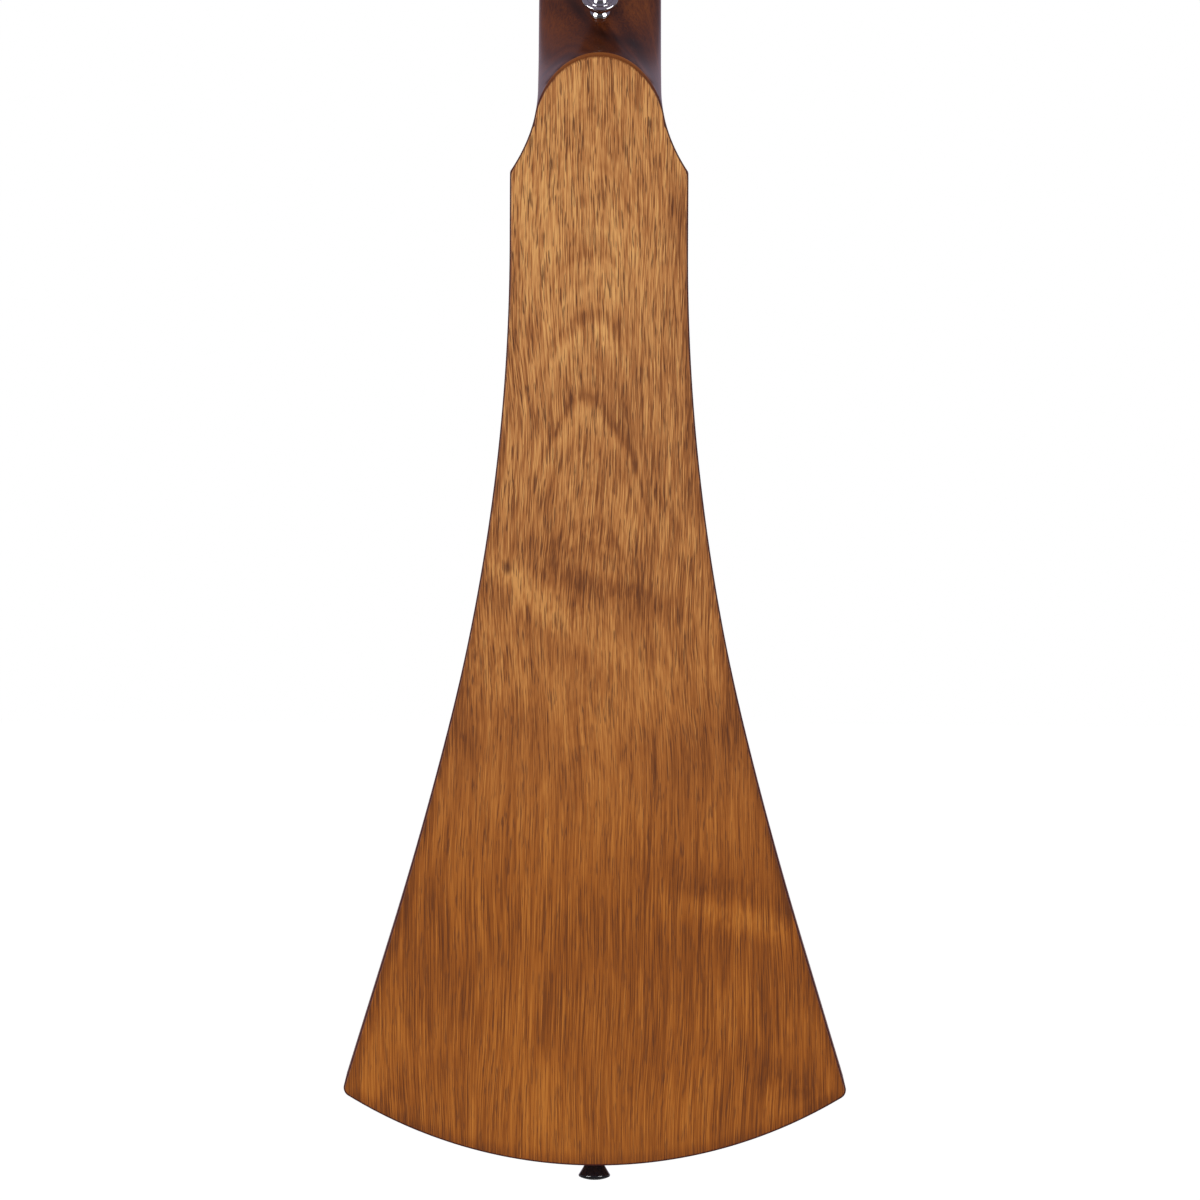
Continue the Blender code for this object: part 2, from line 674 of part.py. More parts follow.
def make_braces():
    """Braces round the soundhole, two long ones below it, and cross braces on the back."""
    plate_low = PIN_Z + PIN_STRING_OFFSET - BRIDGE_PLATE_LENGTH / 2
    plate = box(
        "bridge_plate",
        (-BRIDGE_PLATE_WIDTH / 2, RIB_FRONT - BRIDGE_PLATE_THICKNESS, plate_low),
        (BRIDGE_PLATE_WIDTH / 2, RIB_FRONT, plate_low + BRIDGE_PLATE_LENGTH),
        INNER_WOOD,
    )
    boolean(plate, string_hole_cutter)
    hole = SOUNDHOLE_FROM_SHOULDER - SOUNDHOLE_DIAMETER / 2
    down = hole - UPPER_BRACE_ABOVE_HOLE
    half = inner_half(down)
    brace("upper_brace", (-half, SHOULDER - down), (half, SHOULDER - down), RIB_FRONT, -1)
    start = Vector((LONG_BRACE_TOP_SIDE, SHOULDER - hole - SOUNDHOLE_DIAMETER))
    start.y -= LONG_BRACE_BELOW_HOLE
    end = Vector((CORNER_TO_CORNER / 2 - LONG_BRACE_FROM_CORNER, SHOULDER - CORNER_DOWN))
    end.y += LONG_BRACE_ABOVE_CORNER
    for side, name in ((1, "bass_brace"), (-1, "treble_brace")):
        brace(name, (side * start.x, start.y), (side * end.x, end.y), RIB_FRONT, -1)
    z = (plate_low + tail_block_top()) / 2
    middle = start.lerp(end, (z - start.y) / (end.y - start.y))
    half = middle.x - BRACE_WIDTH / 2 - 3 * GAP
    brace("lower_brace", (-half, z), (half, z), RIB_FRONT, -1)
    block_end = SHOULDER - NECK_BLOCK_LENGTH
    for step, name in enumerate(("upper_back_brace", "middle_back_brace", "lower_back_brace"), 1):
        z = block_end + (tail_block_top() - block_end) * step / 4
        half = inner_half(SHOULDER - z)
        brace(name, (-half, z), (half, z), RIB_BACK, 1)


# Neck
def heel_depth():
    return -BACK_INNER - GAP


def scoop(z):
    """The neck's depth at its middle, and the slope at which it deepens towards the tail."""
    top = TONGUE_TOP + HEEL_SCOOP_LENGTH
    base = NECK_DEPTH_NUT + (NECK_DEPTH_HEEL - NECK_DEPTH_NUT) * z / top
    if z >= top:
        return base, 0.0
    if z <= TONGUE_TOP:
        return heel_depth(), 0.0
    share = HEEL_SCOOP_SWEEP * (top - z) / HEEL_SCOOP_LENGTH
    level = math.sqrt(1 - share**2)
    rise = (heel_depth() - NECK_DEPTH_HEEL) / (1 - math.sqrt(1 - HEEL_SCOOP_SWEEP**2))
    steepness = rise * HEEL_SCOOP_SWEEP / HEEL_SCOOP_LENGTH
    return NECK_DEPTH_HEEL + rise * (1 - level), steepness * share / level


def tongue_drop(x):
    """How far the tongue's rounded end falls from its top, before it meets the neck's sides."""
    share = min(x, NECK_WIDTH_AT_BODY / 2) / TONGUE_HALF_WIDTH
    return TONGUE_OVAL_LENGTH * (1 - math.sqrt(1 - min(share, 1) ** 2))


def neck_section(z, steps=5):
    """One cross-section: a flat top, short flat sides and a back rounded at both edges.

    The back is an ellipse along the neck and grows squarer towards the heel, where it deepens
    until it meets the tongue's rounded end.
    """
    half = neck_half(z)
    down = TONGUE_TOP - z
    near_head = smooth_blend(-z / HEAD_BLEND_LENGTH)
    near_heel = smooth_blend(1 + down / HEEL_SCOOP_LENGTH)
    flat_half = tongue_half(min(z, TONGUE_TOP)) * smooth_blend(down / HEEL_SETTLE)
    across = HEAD_EDGE + (max(half - flat_half, HEEL_EDGE) - HEAD_EDGE) * near_head
    fade = 1 - smooth_blend(down / HEEL_ROUND_FADE)
    power = ELLIPSE_POWER + (HEEL_POWER - ELLIPSE_POWER) * near_heel
    right = [(half, 0.0)]
    for step in range(steps + 1):
        angle = math.pi / 2 * step / steps
        x = half - across + across * max(math.cos(angle), 0) ** (ELLIPSE_POWER / power)
        depth, _ = scoop(z + tongue_drop(x))
        deep = HEEL_EDGE + (depth - NECK_SIDE_FLAT - HEEL_EDGE) * fade
        deep = HEAD_EDGE + (deep - HEAD_EDGE) * near_head
        curve = math.sin(angle) ** (ELLIPSE_POWER / power)
        right.append((x, -(depth - deep) - deep * curve))
    return right + [(-x, y) for x, y in reversed(right)]


def neck_stations():
    stations = [NUT_THICKNESS]
    stations += [-HEAD_BLEND_LENGTH * share / 6 for share in range(7)]
    top = TONGUE_TOP + HEEL_SCOOP_LENGTH
    stations += [top * share / 3 for share in (1, 2, 3)]
    sweep = math.asin(HEEL_SCOOP_SWEEP)
    for step in range(1, 9):
        share = math.sin(sweep * step / 8) / HEEL_SCOOP_SWEEP
        stations.append(top - HEEL_SCOOP_LENGTH * share)
    for degrees in (10, 20, 30, 40, 50, 60, 70, 80):
        down = TONGUE_OVAL_LENGTH * (1 - math.cos(math.radians(degrees)))
        stations.append(TONGUE_TOP - down)
    low = stations[-1]
    for step in range(1, 5):
        stations.append(low + (SHOULDER - low) * step / 4)
    return stations


def loft(name, sections, surface=None):
    """Join (x, y) sections given with their z into one closed solid."""
    bm = bmesh.new()
    rings = [[bm.verts.new((x, y, z)) for x, y in points] for z, points in sections]
    bm.faces.new(rings[0])
    bm.faces.new(list(reversed(rings[-1])))
    for low, high in zip(rings, rings[1:]):
        count = len(low)
        for i in range(count):
            j = (i + 1) % count
            bm.faces.new((low[i], low[j], high[j], high[i]))
    return mesh_object(name, bm, surface)


head_frame = bpy.data.objects.new("headstock_frame", None)
head_frame.location = (0, 0, NUT_THICKNESS)
head_frame.rotation_euler = (HEAD_TILT, 0, 0)
parts.objects.link(head_frame)
HEAD = Matrix.Translation((0, 0, NUT_THICKNESS)) @ Matrix.Rotation(HEAD_TILT, 4, "X")


def on_head(obj, location=(0, 0, 0), turn=0.0):
    obj.parent = head_frame
    obj.location = location
    obj.rotation_euler = (0, 0, turn)
    return obj


def post_places():
    """Side, string number, and (x, z) in the headstock's frame of each tuner post."""
    places = []
    for index in range(3):
        z = TUNER_FIRST + TUNER_PITCH * index
        places.append((1, 6 - index, POST_SIDE, z))
        places.append((-1, 1 + index, -POST_SIDE, z))
    return sorted(places, key=lambda place: place[1])


def headstock_outline():
    """A waist that widens to the shoulders, slightly flared sides and an arched top."""
    root = NUT_WIDTH / 2
    right = [(root - HEAD_ROOT_INSET, -HEAD_ROOT_OVERLAP)]
    for step in range(8):
        share = step / 7
        half = root + (HEAD_SHOULDER_HALF - root) * smooth_blend(share)
        right.append((half, HEAD_SHOULDER_HEIGHT * share))
    reach = HEAD_TOP_HALF - HEAD_CORNER_ROUND
    for step in range(5):
        angle = math.pi / 2 * step / 4
        x = reach + HEAD_CORNER_ROUND * math.cos(angle)
        z = HEAD_LENGTH - HEAD_CORNER_ROUND * (1 - math.sin(angle))
        right.append((x, z))
    for step in range(1, 7):
        share = 1 - step / 6
        right.append((reach * share, HEAD_LENGTH + HEAD_TOP_RISE * (1 - share**2)))
    return right + [(-x, z) for x, z in reversed(right[:-1])]


def strap_place():
    """The strap button's seat on the heel, and the direction it stands in."""
    z = TONGUE_TOP + STRAP_FROM_TONGUE
    depth, slope = scoop(z)
    outward = Vector((0, -1, slope)).normalized()
    return Vector((0, -depth, z)), outward


def make_neck():
    neck = loft("neck", [(z, neck_section(z)) for z in neck_stations()], DARK_WOOD)
    slab = prism("headstock_slab", headstock_outline(), -HEAD_THICKNESS, 0)
    on_head(slab)
    boolean(neck, slab, "UNION")
    low = (-NUT_WIDTH, 0, -2 * HEAD_ROOT_OVERLAP)
    high = (NUT_WIDTH, HEAD_ROOT_OVERLAP, NUT_THICKNESS + GAP)
    boolean(neck, box("glue_plane_cutter", low, high))
    half = TENON_WIDTH / 2
    low = (-half, RIB_FRONT - TENON_DEPTH, SHOULDER - TENON_LENGTH)
    tenon = box("neck_tenon", low, (half, RIB_FRONT, SHOULDER + MM))
    boolean(neck, tenon, "UNION")
    half = BAR_WIDTH / 2 + GAP
    low = (-half, -BAR_DEPTH - 2 * GAP, -BAR_FROM_NUT - BAR_LENGTH - GAP)
    boolean(neck, box("bar_channel_cutter", low, (half, MM, -BAR_FROM_NUT + GAP)))
    bm = bmesh.new()
    for _, _, x, z in post_places():
        start = (x, -HEAD_THICKNESS - MM, z)
        add_cylinder(bm, start, (x, MM, z), BUSHING_DIAMETER / 2 + GAP, 14)
    boolean(neck, on_head(mesh_object("post_hole_cutter", bm)))
    seat, outward = strap_place()
    bm = bmesh.new()
    deep = seat - outward * (STRAP_SCREW_IN_WOOD + GAP)
    high = seat + outward * STRAP_BASE_DIAMETER
    add_cylinder(bm, deep, high, STRAP_SCREW_DIAMETER / 2 + GAP, 16)
    boolean(neck, mesh_object("strap_screw_cutter", bm))
    half = BAR_WIDTH / 2
    low = (-half, -BAR_DEPTH - GAP, -BAR_FROM_NUT - BAR_LENGTH)
    box("neck_bar", low, (half, -GAP, -BAR_FROM_NUT), STEEL)


def board_half(z):
    return (NUT_WIDTH + (NECK_WIDTH_AT_BODY - NUT_WIDTH) * z / SHOULDER) / 2


def make_fingerboard():
    """The board and its frets in one solid: a side profile with a crown at each fret."""
    profile = [(BOARD_END, GAP), (-GAP, GAP), (-GAP, BOARD_THICKNESS)]
    for fret in range(1, FRET_COUNT + 1):
        z = -SCALE_LENGTH * (1 - 2 ** (-fret / 12))
        crown = BOARD_THICKNESS + FRET_HEIGHT
        profile.append((z + FRET_FOOT / 2, BOARD_THICKNESS))
        profile.append((z + FRET_CROWN / 2, crown))
        profile.append((z - FRET_CROWN / 2, crown))
        profile.append((z - FRET_FOOT / 2, BOARD_THICKNESS))
    profile.append((BOARD_END, BOARD_THICKNESS))
    bm = bmesh.new()
    right = [bm.verts.new((board_half(z), y, z)) for z, y in profile]
    left = [bm.verts.new((-board_half(z), y, z)) for z, y in profile]
    bm.faces.new(right)
    bm.faces.new(list(reversed(left)))
    for i in range(len(profile)):
        j = (i + 1) % len(profile)
        bm.faces.new((right[j], right[i], left[i], left[j]))
    return mesh_object("fingerboard", bm, BLACK_WOOD)


def string_x(number, spread):
    """A string's distance from the centreline. String 6 is the lowest and lies at +X."""
    return spread * (number - 3.5) / 5


def make_nut():
    low = (-NUT_WIDTH / 2, GAP, 0)
    nut = box("nut", low, (NUT_WIDTH / 2, NUT_HEIGHT, NUT_THICKNESS), BONE)
    bm = bmesh.new()
    for number, diameter in enumerate(STRING_DIAMETERS, 1):
        x = string_x(number, STRING_SPREAD_NUT)
        half = diameter / 2 + GAP
        add_box(
            bm,
            (x - half, NUT_SLOT_FLOOR, -MM),
            (x + half, NUT_HEIGHT + MM, NUT_THICKNESS + MM),
        )
    boolean(nut, mesh_object("nut_slot_cutter", bm))


# Bridge
def keyhole(x, z):
    """A pin hole with a slot for the string on the side towards the saddle."""
    radius = PIN_DIAMETER / 2 + GAP
    first = math.asin(STRING_SLOT_HALF / radius)
    points = []
    for step in range(10):
        angle = first + (2 * math.pi - 2 * first) * step / 9
        points.append((x + radius * math.sin(angle), z + radius * math.cos(angle)))
    points.append((x - STRING_SLOT_HALF, z + STRING_SLOT_REACH))
    points.append((x + STRING_SLOT_HALF, z + STRING_SLOT_REACH))
    return points


def make_string_hole_cutter():
    bm = bmesh.new()
    low = RIB_FRONT - BRIDGE_PLATE_THICKNESS - MM
    for number in range(1, 7):
        points = keyhole(string_x(number, STRING_SPREAD_SADDLE), PIN_Z)
        add_prism(bm, points, low, BRIDGE_HEIGHT + MM)
    return mesh_object("string_hole_cutter", bm)


def make_bridge():
    wing = BRIDGE_WIDTH / 2
    middle = BRIDGE_CENTRE_WIDTH / 2
    right = [
        (wing, GAP),
        (wing, BRIDGE_WING_HEIGHT),
        (middle + BRIDGE_RAMP, BRIDGE_WING_HEIGHT + BRIDGE_WING_RISE),
        (middle, BRIDGE_HEIGHT),
    ]
    profile = right + [(-x, y) for x, y in reversed(right)]
    back = BRIDGE_FRONT - BRIDGE_LENGTH
    bridge = loft("bridge", [(back, profile), (BRIDGE_FRONT, profile)], BLACK_WOOD)
    bevel(bridge, BRIDGE_EDGE, 1)
    boolean(bridge, string_hole_cutter)
    half = SADDLE_LENGTH / 2 + GAP
    thick = SADDLE_THICKNESS / 2 + GAP
    floor = BRIDGE_HEIGHT - SADDLE_SLOT_DEPTH
    low = (-half, floor, SADDLE_Z - thick)
    boolean(bridge, box("saddle_slot_cutter", low, (half, BRIDGE_HEIGHT + MM, SADDLE_Z + thick)))
    thick = SADDLE_THICKNESS / 2
    low = (-SADDLE_LENGTH / 2, floor + GAP, SADDLE_Z - thick)
    saddle = box("saddle", low, (SADDLE_LENGTH / 2, SADDLE_TOP, SADDLE_Z + thick), BONE)
    bevel(saddle, SADDLE_EDGE, 2)


def make_pins():
    top = PIN_HEAD_DIAMETER / 2
    profile = [
        (0, PIN_HEAD_HEIGHT),
        (top * 0.55, PIN_HEAD_HEIGHT * 0.9),
        (top * 0.92, PIN_HEAD_HEIGHT * 0.6),
        (top, PIN_HEAD_HEIGHT * 0.3),
        (top * 0.85, 0),
        (PIN_DIAMETER / 2, 0),
        (PIN_TIP_DIAMETER / 2, -BRIDGE_HEIGHT - PIN_REACH),
        (0, -BRIDGE_HEIGHT - PIN_REACH - PIN_POINT),
    ]
    for number in range(1, 7):
        pin = turned(f"bridge_pin_{number}", profile, BLACK_PLASTIC, 10)
        x = string_x(number, STRING_SPREAD_SADDLE)
        pin.matrix_world = Matrix.Translation((x, PIN_SEAT, PIN_Z)) @ aim((0, 1, 0))


# Strings
def string_route(number):
    """Points from the ball end, through the bridge and over saddle and nut, round the post."""
    radius = STRING_DIAMETERS[number - 1] / 2
    x = string_x(number, STRING_SPREAD_SADDLE)
    z = PIN_Z + PIN_STRING_OFFSET
    under = RIB_FRONT - BRIDGE_PLATE_THICKNESS - GAP
    ball = BALL_DIAMETER / 2 / radius
    route = [
        ((x, under - BALL_LENGTH, z), ball),
        ((x, under, z), ball),
        ((x, under + GAP / 3, z), 1.0),
        ((x, BRIDGE_HEIGHT - STRING_BEND, z), 1.0),
        ((x, BRIDGE_HEIGHT - GAP, z + STRING_BEND / 5), 1.0),
        ((x, BRIDGE_HEIGHT + radius + GAP, z + STRING_BEND), 1.0),
        ((x, SADDLE_TOP + radius + GAP, SADDLE_Z - SADDLE_THICKNESS / 4), 1.0),
        ((x, SADDLE_TOP + radius + GAP, SADDLE_Z + SADDLE_THICKNESS / 4), 1.0),
    ]
    nut_x = string_x(number, STRING_SPREAD_NUT)
    level = NUT_SLOT_FLOOR + radius + GAP
    route.append(((nut_x, level, GAP), 1.0))
    route.append(((nut_x, level, NUT_THICKNESS), 1.0))
    side, _, post_x, post_z = post_places()[number - 1]
    reach = WAIST_RADIUS + GAP + radius
    for step in range(9):
        angle = math.pi - STRING_LEAVE - step * STRING_TURN_STEP
        place = (
            post_x + side * reach * math.cos(angle),
            STRING_LEVEL,
            post_z + reach * math.sin(angle),
        )
        route.append((tuple(HEAD @ Vector(place)), 1.0))
    return route


def make_strings():
    for number, diameter in enumerate(STRING_DIAMETERS, 1):
        route = string_route(number)
        curve = bpy.data.curves.new(f"string_{number}", "CURVE")
        curve.dimensions = "3D"
        curve.bevel_depth = diameter / 2
        curve.bevel_resolution = 1
        curve.use_fill_caps = True
        curve.render_resolution_u = 0
        spline = curve.splines.new("POLY")
        spline.points.add(len(route) - 1)
        for point, (place, size) in zip(spline.points, route):
            point.co = (*place, 1)
            point.radius = size
        link(bpy.data.objects.new(f"string_{number}", curve), STEEL if number < 3 else BRONZE)


# Tuners
def make_bushings():
    bore = POST_DIAMETER / 2 + GAP
    flange = BUSHING_FLANGE_DIAMETER / 2
    outside = BUSHING_DIAMETER / 2
    top = BUSHING_FLANGE_THICKNESS + GAP
    profile = [
        (bore, top),
        (flange - BUSHING_FLANGE_THICKNESS, top),
        (flange, GAP),
        (outside, GAP),
        (outside, -BUSHING_LENGTH),
        (bore, -BUSHING_LENGTH),
    ]
    for _, number, x, z in post_places():
        bushing = turned(f"tuner_bushing_{number}", profile, CHROME, 14, closed=True)
        bushing.parent = head_frame
        bushing.location = (x, 0, z)
        bushing.rotation_euler = (-math.pi / 2, 0, 0)


def gear_outline():
    """Straight-sided teeth, with a gap towards -Z where the worm meets them."""
    points = []
    for tooth in range(GEAR_TEETH):
        middle = -math.pi / 2 + math.pi / GEAR_TEETH * (2 * tooth + 1)
        root = TOOTH_ROOT_HALF / GEAR_ROOT_RADIUS
        tip = TOOTH_TIP_HALF / GEAR_TIP_RADIUS
        corners = (
            (GEAR_ROOT_RADIUS, middle - root),
            (GEAR_TIP_RADIUS, middle - tip),
            (GEAR_TIP_RADIUS, middle + tip),
            (GEAR_ROOT_RADIUS, middle + root),
        )
        points += [(r * math.cos(a), r * math.sin(a)) for r, a in corners]
    return points


def make_posts():
    """Posts stand along Y in the headstock's frame, each with its gear behind the plate."""
    radius = POST_DIAMETER / 2
    low = GEAR_LEVEL - GEAR_THICKNESS / 2
    profile = [
        (0, POST_HEIGHT),
        (radius - POST_CHAMFER, POST_HEIGHT),
        (radius, POST_HEIGHT - POST_CHAMFER),
        (radius, POST_HOLE_HEIGHT + WAIST_FROM_HOLE + WAIST_SLOPE),
        (WAIST_RADIUS, POST_HOLE_HEIGHT + WAIST_FROM_HOLE),
        (WAIST_RADIUS, STRING_LEVEL - WAIST_BELOW_STRING),
        (radius, STRING_LEVEL - WAIST_BELOW_STRING - WAIST_SLOPE),
        (radius, GEAR_LEVEL),
        (POST_SCREW_RADIUS, GEAR_LEVEL),
        (POST_SCREW_RADIUS, low - POST_SCREW_HEIGHT),
        (0, low - POST_SCREW_HEIGHT),
    ]
    post = turned("tuner_post_1", profile, CHROME, 12)
    post.rotation_euler = (-math.pi / 2, 0, 0)
    gear = prism("gear_blank", gear_outline(), low, low + GEAR_THICKNESS)
    boolean(post, gear, "UNION")
    bm = bmesh.new()
    reach = POST_DIAMETER
    add_cylinder(
        bm,
        (-reach, POST_HOLE_HEIGHT, 0),
        (reach, POST_HOLE_HEIGHT, 0),
        POST_HOLE_DIAMETER / 2,
        8,
    )
    boolean(post, mesh_object("post_string_hole_cutter", bm))
    bpy.context.view_layer.update()
    baked(post)
    for _, number, x, z in post_places():
        copy = post
        if number > 1:
            copy = bpy.data.objects.new(f"tuner_post_{number}", post.data)
            parts.objects.link(copy)
        copy.parent = head_frame
        copy.location = (x, 0, z)
        copy.rotation_euler = (-math.pi / 2, 0, 0)


def worm_mesh(name, start, end):
    """A shaft along X with one helical thread round X = 0, whose crest there faces +Z."""
    columns = 10
    turns = math.ceil(WORM_LENGTH / THREAD_LEAD / 2) + 2
    corners = (
        (-THREAD_ROOT_HALF, WORM_SHAFT_RADIUS),
        (-THREAD_TIP_HALF, WORM_TIP_RADIUS),
        (THREAD_TIP_HALF, WORM_TIP_RADIUS),
        (THREAD_ROOT_HALF, WORM_SHAFT_RADIUS),
    )
    bm = bmesh.new()
    rows = []
    for column in range(columns + 1):
        angle = 2 * math.pi * column / columns
        row = [(start, WORM_SHAFT_RADIUS)]
        for turn in range(-turns, turns + 1):
            for offset, radius in corners:
                x = (turn + column / columns) * THREAD_LEAD + offset
                if abs(x) > WORM_LENGTH / 2:
                    x = math.copysign(WORM_LENGTH / 2, x)
                    radius = WORM_SHAFT_RADIUS
                row.append((x, radius))
        row.append((end, WORM_SHAFT_RADIUS))
        rows.append(
            [
                bm.verts.new((x, -radius * math.sin(angle), radius * math.cos(angle)))
                for x, radius in row
            ]
        )
    for left, right in zip(rows, rows[1:]):
        for i in range(len(left) - 1):
            bm.faces.new((left[i], left[i + 1], right[i + 1], right[i]))
    bm.faces.new([row[0] for row in rows[:-1]])
    bm.faces.new([row[-1] for row in reversed(rows[:-1])])
    bmesh.ops.remove_doubles(bm, verts=bm.verts, dist=1e-6)
    bmesh.ops.dissolve_degenerate(bm, edges=bm.edges, dist=1e-6)
    return mesh_object(name, bm, PEARL)


def make_knobs():
    """Each knob is an oval button on a shaft whose worm drives the gear above it."""
    lug_face = WORM_LENGTH / 2 + 2 * GAP + LUG_THICKNESS
    button_start = HEAD_TOP_HALF + BUTTON_CLEAR - POST_SIDE
    knob = worm_mesh("tuner_knob_1", -lug_face - MM, button_start + BUTTON_LENGTH / 3)
    bm = bmesh.new()
    centre = Matrix.Translation((button_start + BUTTON_LENGTH / 2, 0, 0))
    size = Matrix.Diagonal((BUTTON_LENGTH / 2, BUTTON_THICKNESS / 2, BUTTON_WIDTH / 2, 1))
    bmesh.ops.create_uvsphere(
        bm, u_segments=12, v_segments=6, radius=1, matrix=centre @ size
    )
    boolean(knob, mesh_object("button_blank", bm), "UNION")
    bm = bmesh.new()
    end = button_start + COLLAR_IN_BUTTON
    add_cylinder(bm, (end - COLLAR_LENGTH, 0, 0), (end, 0, 0), COLLAR_RADIUS, 10)
    boolean(knob, mesh_object("collar_blank", bm), "UNION")
    bpy.context.view_layer.update()
    baked(knob)
    for side, number, x, z in post_places():
        copy = knob
        if number > 1:
            copy = bpy.data.objects.new(f"tuner_knob_{number}", knob.data)
            parts.objects.link(copy)
        place = (x, GEAR_LEVEL, z - CENTRE_DISTANCE)
        on_head(copy, place, 0 if side > 0 else math.pi)


def make_tuner_plates():
    for side, name in ((1, "bass_tuner_plate"), (-1, "treble_tuner_plate")):
        spots = [(x, z) for s, _, x, z in post_places() if s == side]
        low_z = min(z for _, z in spots) - CENTRE_DISTANCE - PLATE_END
        high_z = max(z for _, z in spots) + PLATE_END
        x = side * POST_SIDE
        low = (x - PLATE_WIDTH / 2, PLATE_BACK, low_z)
        high = (x + PLATE_WIDTH / 2, PLATE_BACK + PLATE_THICKNESS, high_z)
        plate = on_head(box(name, low, high, CHROME))
        lugs, holes = bmesh.new(), bmesh.new()
        for x, z in spots:
            shaft_z = z - CENTRE_DISTANCE
            for end in (1, -1):
                face = x + end * (WORM_LENGTH / 2 + GAP)
                edges = sorted((face, face + end * LUG_THICKNESS))
                bottom = GEAR_LEVEL - WORM_SHAFT_RADIUS - LUG_OVERHANG
                low = (edges[0], bottom, shaft_z - LUG_WIDTH / 2)
                top = PLATE_BACK + PLATE_THICKNESS / 2
                add_box(lugs, low, (edges[1], top, shaft_z + LUG_WIDTH / 2))
            start = (x - WORM_LENGTH, GEAR_LEVEL, shaft_z)
            end = (x + WORM_LENGTH, GEAR_LEVEL, shaft_z)
            add_cylinder(holes, start, end, WORM_SHAFT_RADIUS + GAP, 10)
            start = (x, PLATE_BACK - GAP, z)
            end = (x, PLATE_BACK + PLATE_THICKNESS + GAP, z)
            add_cylinder(holes, start, end, POST_DIAMETER / 2 + GAP, 12)
        boolean(plate, on_head(mesh_object(f"{name}_lugs", lugs)), "UNION")
        boolean(plate, on_head(mesh_object(f"{name}_holes", holes)))


# Strap hardware
def make_strap_button():
    seat, outward = strap_place()
    flange = STRAP_FLANGE_DIAMETER / 2
    bore = STRAP_BORE_DIAMETER / 2
    profile = [
        (bore, STRAP_HEIGHT - STRAP_DISH),
        (flange * 0.62, STRAP_HEIGHT - STRAP_DISH * 0.6),
        (flange * 0.86, STRAP_HEIGHT),
        (flange, STRAP_HEIGHT * 0.95),
        (flange * 0.97, STRAP_HEIGHT * 0.83),
        (flange * 0.78, STRAP_HEIGHT * 0.67),
        (flange * 0.58, STRAP_HEIGHT * 0.48),
        (STRAP_WAIST_DIAMETER / 2, STRAP_HEIGHT * 0.3),
        (STRAP_BASE_DIAMETER / 2, STRAP_HEIGHT * 0.12),
        (STRAP_BASE_DIAMETER / 2, 0),
        (bore, 0),
    ]
    button = turned("strap_button", profile, CHROME, 18, closed=True)
    place = Matrix.Translation(seat + outward * STRAP_SEAT) @ aim(outward)
    button.matrix_world = place
    head = STRAP_SCREW_HEAD_DIAMETER / 2
    shank = STRAP_SCREW_DIAMETER / 2
    level = STRAP_HEIGHT - STRAP_DISH + GAP
    profile = [
        (0, level + STRAP_SCREW_HEAD_HEIGHT),
        (head * 0.6, level + STRAP_SCREW_HEAD_HEIGHT * 0.9),
        (head * 0.95, level + STRAP_SCREW_HEAD_HEIGHT * 0.5),
        (head, level + STRAP_SCREW_HEAD_HEIGHT * 0.2),
        (shank, level),
        (shank, STRAP_SCREW_POINT - STRAP_SEAT - STRAP_SCREW_IN_WOOD),
        (0, -STRAP_SEAT - STRAP_SCREW_IN_WOOD),
    ]
    screw = turned("strap_button_screw", profile, CHROME, 12)
    screw.matrix_world = place


def make_end_pin_cutter():
    bm = bmesh.new()
    radius = END_PIN_NECK_DIAMETER / 2 + GAP
    top = TAIL + END_PIN_SHANK_LENGTH + GAP
    add_cylinder(bm, (0, END_PIN_Y, TAIL - MM), (0, END_PIN_Y, top), radius)
    return mesh_object("end_pin_cutter", bm)


def make_end_pin():
    """Turned upside down: its flat end faces the floor."""
    base = END_PIN_BASE_DIAMETER / 2
    neck = END_PIN_NECK_DIAMETER / 2
    flange = END_PIN_FLANGE_DIAMETER / 2
    flat = END_PIN_FLAT_DIAMETER / 2
    top = END_PIN_HEIGHT
    flare = END_PIN_FLARE_HEIGHT
    profile = [
        (0, top),
        (flat, top),
        (flange * 0.75, flare + (top - flare) * 0.78),
        (flange * 0.95, flare + (top - flare) * 0.47),
        (flange, flare),
        (flange * 0.95, flare * 0.94),
        (neck + (flange - neck) * 0.4, END_PIN_NECK_HEIGHT + (flare - END_PIN_NECK_HEIGHT) * 0.5),
        (neck, END_PIN_NECK_HEIGHT),
        (base, END_PIN_NECK_HEIGHT * 0.4),
        (base, GAP),
        (neck, GAP),
        (neck * 0.86, -END_PIN_SHANK_LENGTH),
        (0, -END_PIN_SHANK_LENGTH),
    ]
    pin = turned("end_pin", profile, BLACK_PLASTIC, 18)
    pin.matrix_world = Matrix.Translation((0, END_PIN_Y, TAIL)) @ aim((0, 0, -1))


string_hole_cutter = make_string_hole_cutter()
end_pin_cutter = make_end_pin_cutter()
make_back_plate()
make_soundboard()
make_ribs()
make_blocks()
make_linings()
make_braces()
make_neck()
make_fingerboard()
make_nut()
make_bridge()
make_pins()
make_strings()
make_bushings()
make_posts()
make_knobs()
make_tuner_plates()
make_strap_button()
make_end_pin()

for piece in parts.objects:
    if piece.type == "MESH":
        piece.data.shade_smooth()
        piece.data.set_sharp_from_angle(angle=math.radians(40))
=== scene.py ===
"""Travel guitar: fine shapes, the finish of every surface, light and camera.

Metres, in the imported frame: +Z along the neck, the back towards -Y, the lowest string at +X.
"""

import math
from contextlib import contextmanager

import bmesh
import bpy
from mathutils import Matrix, Vector


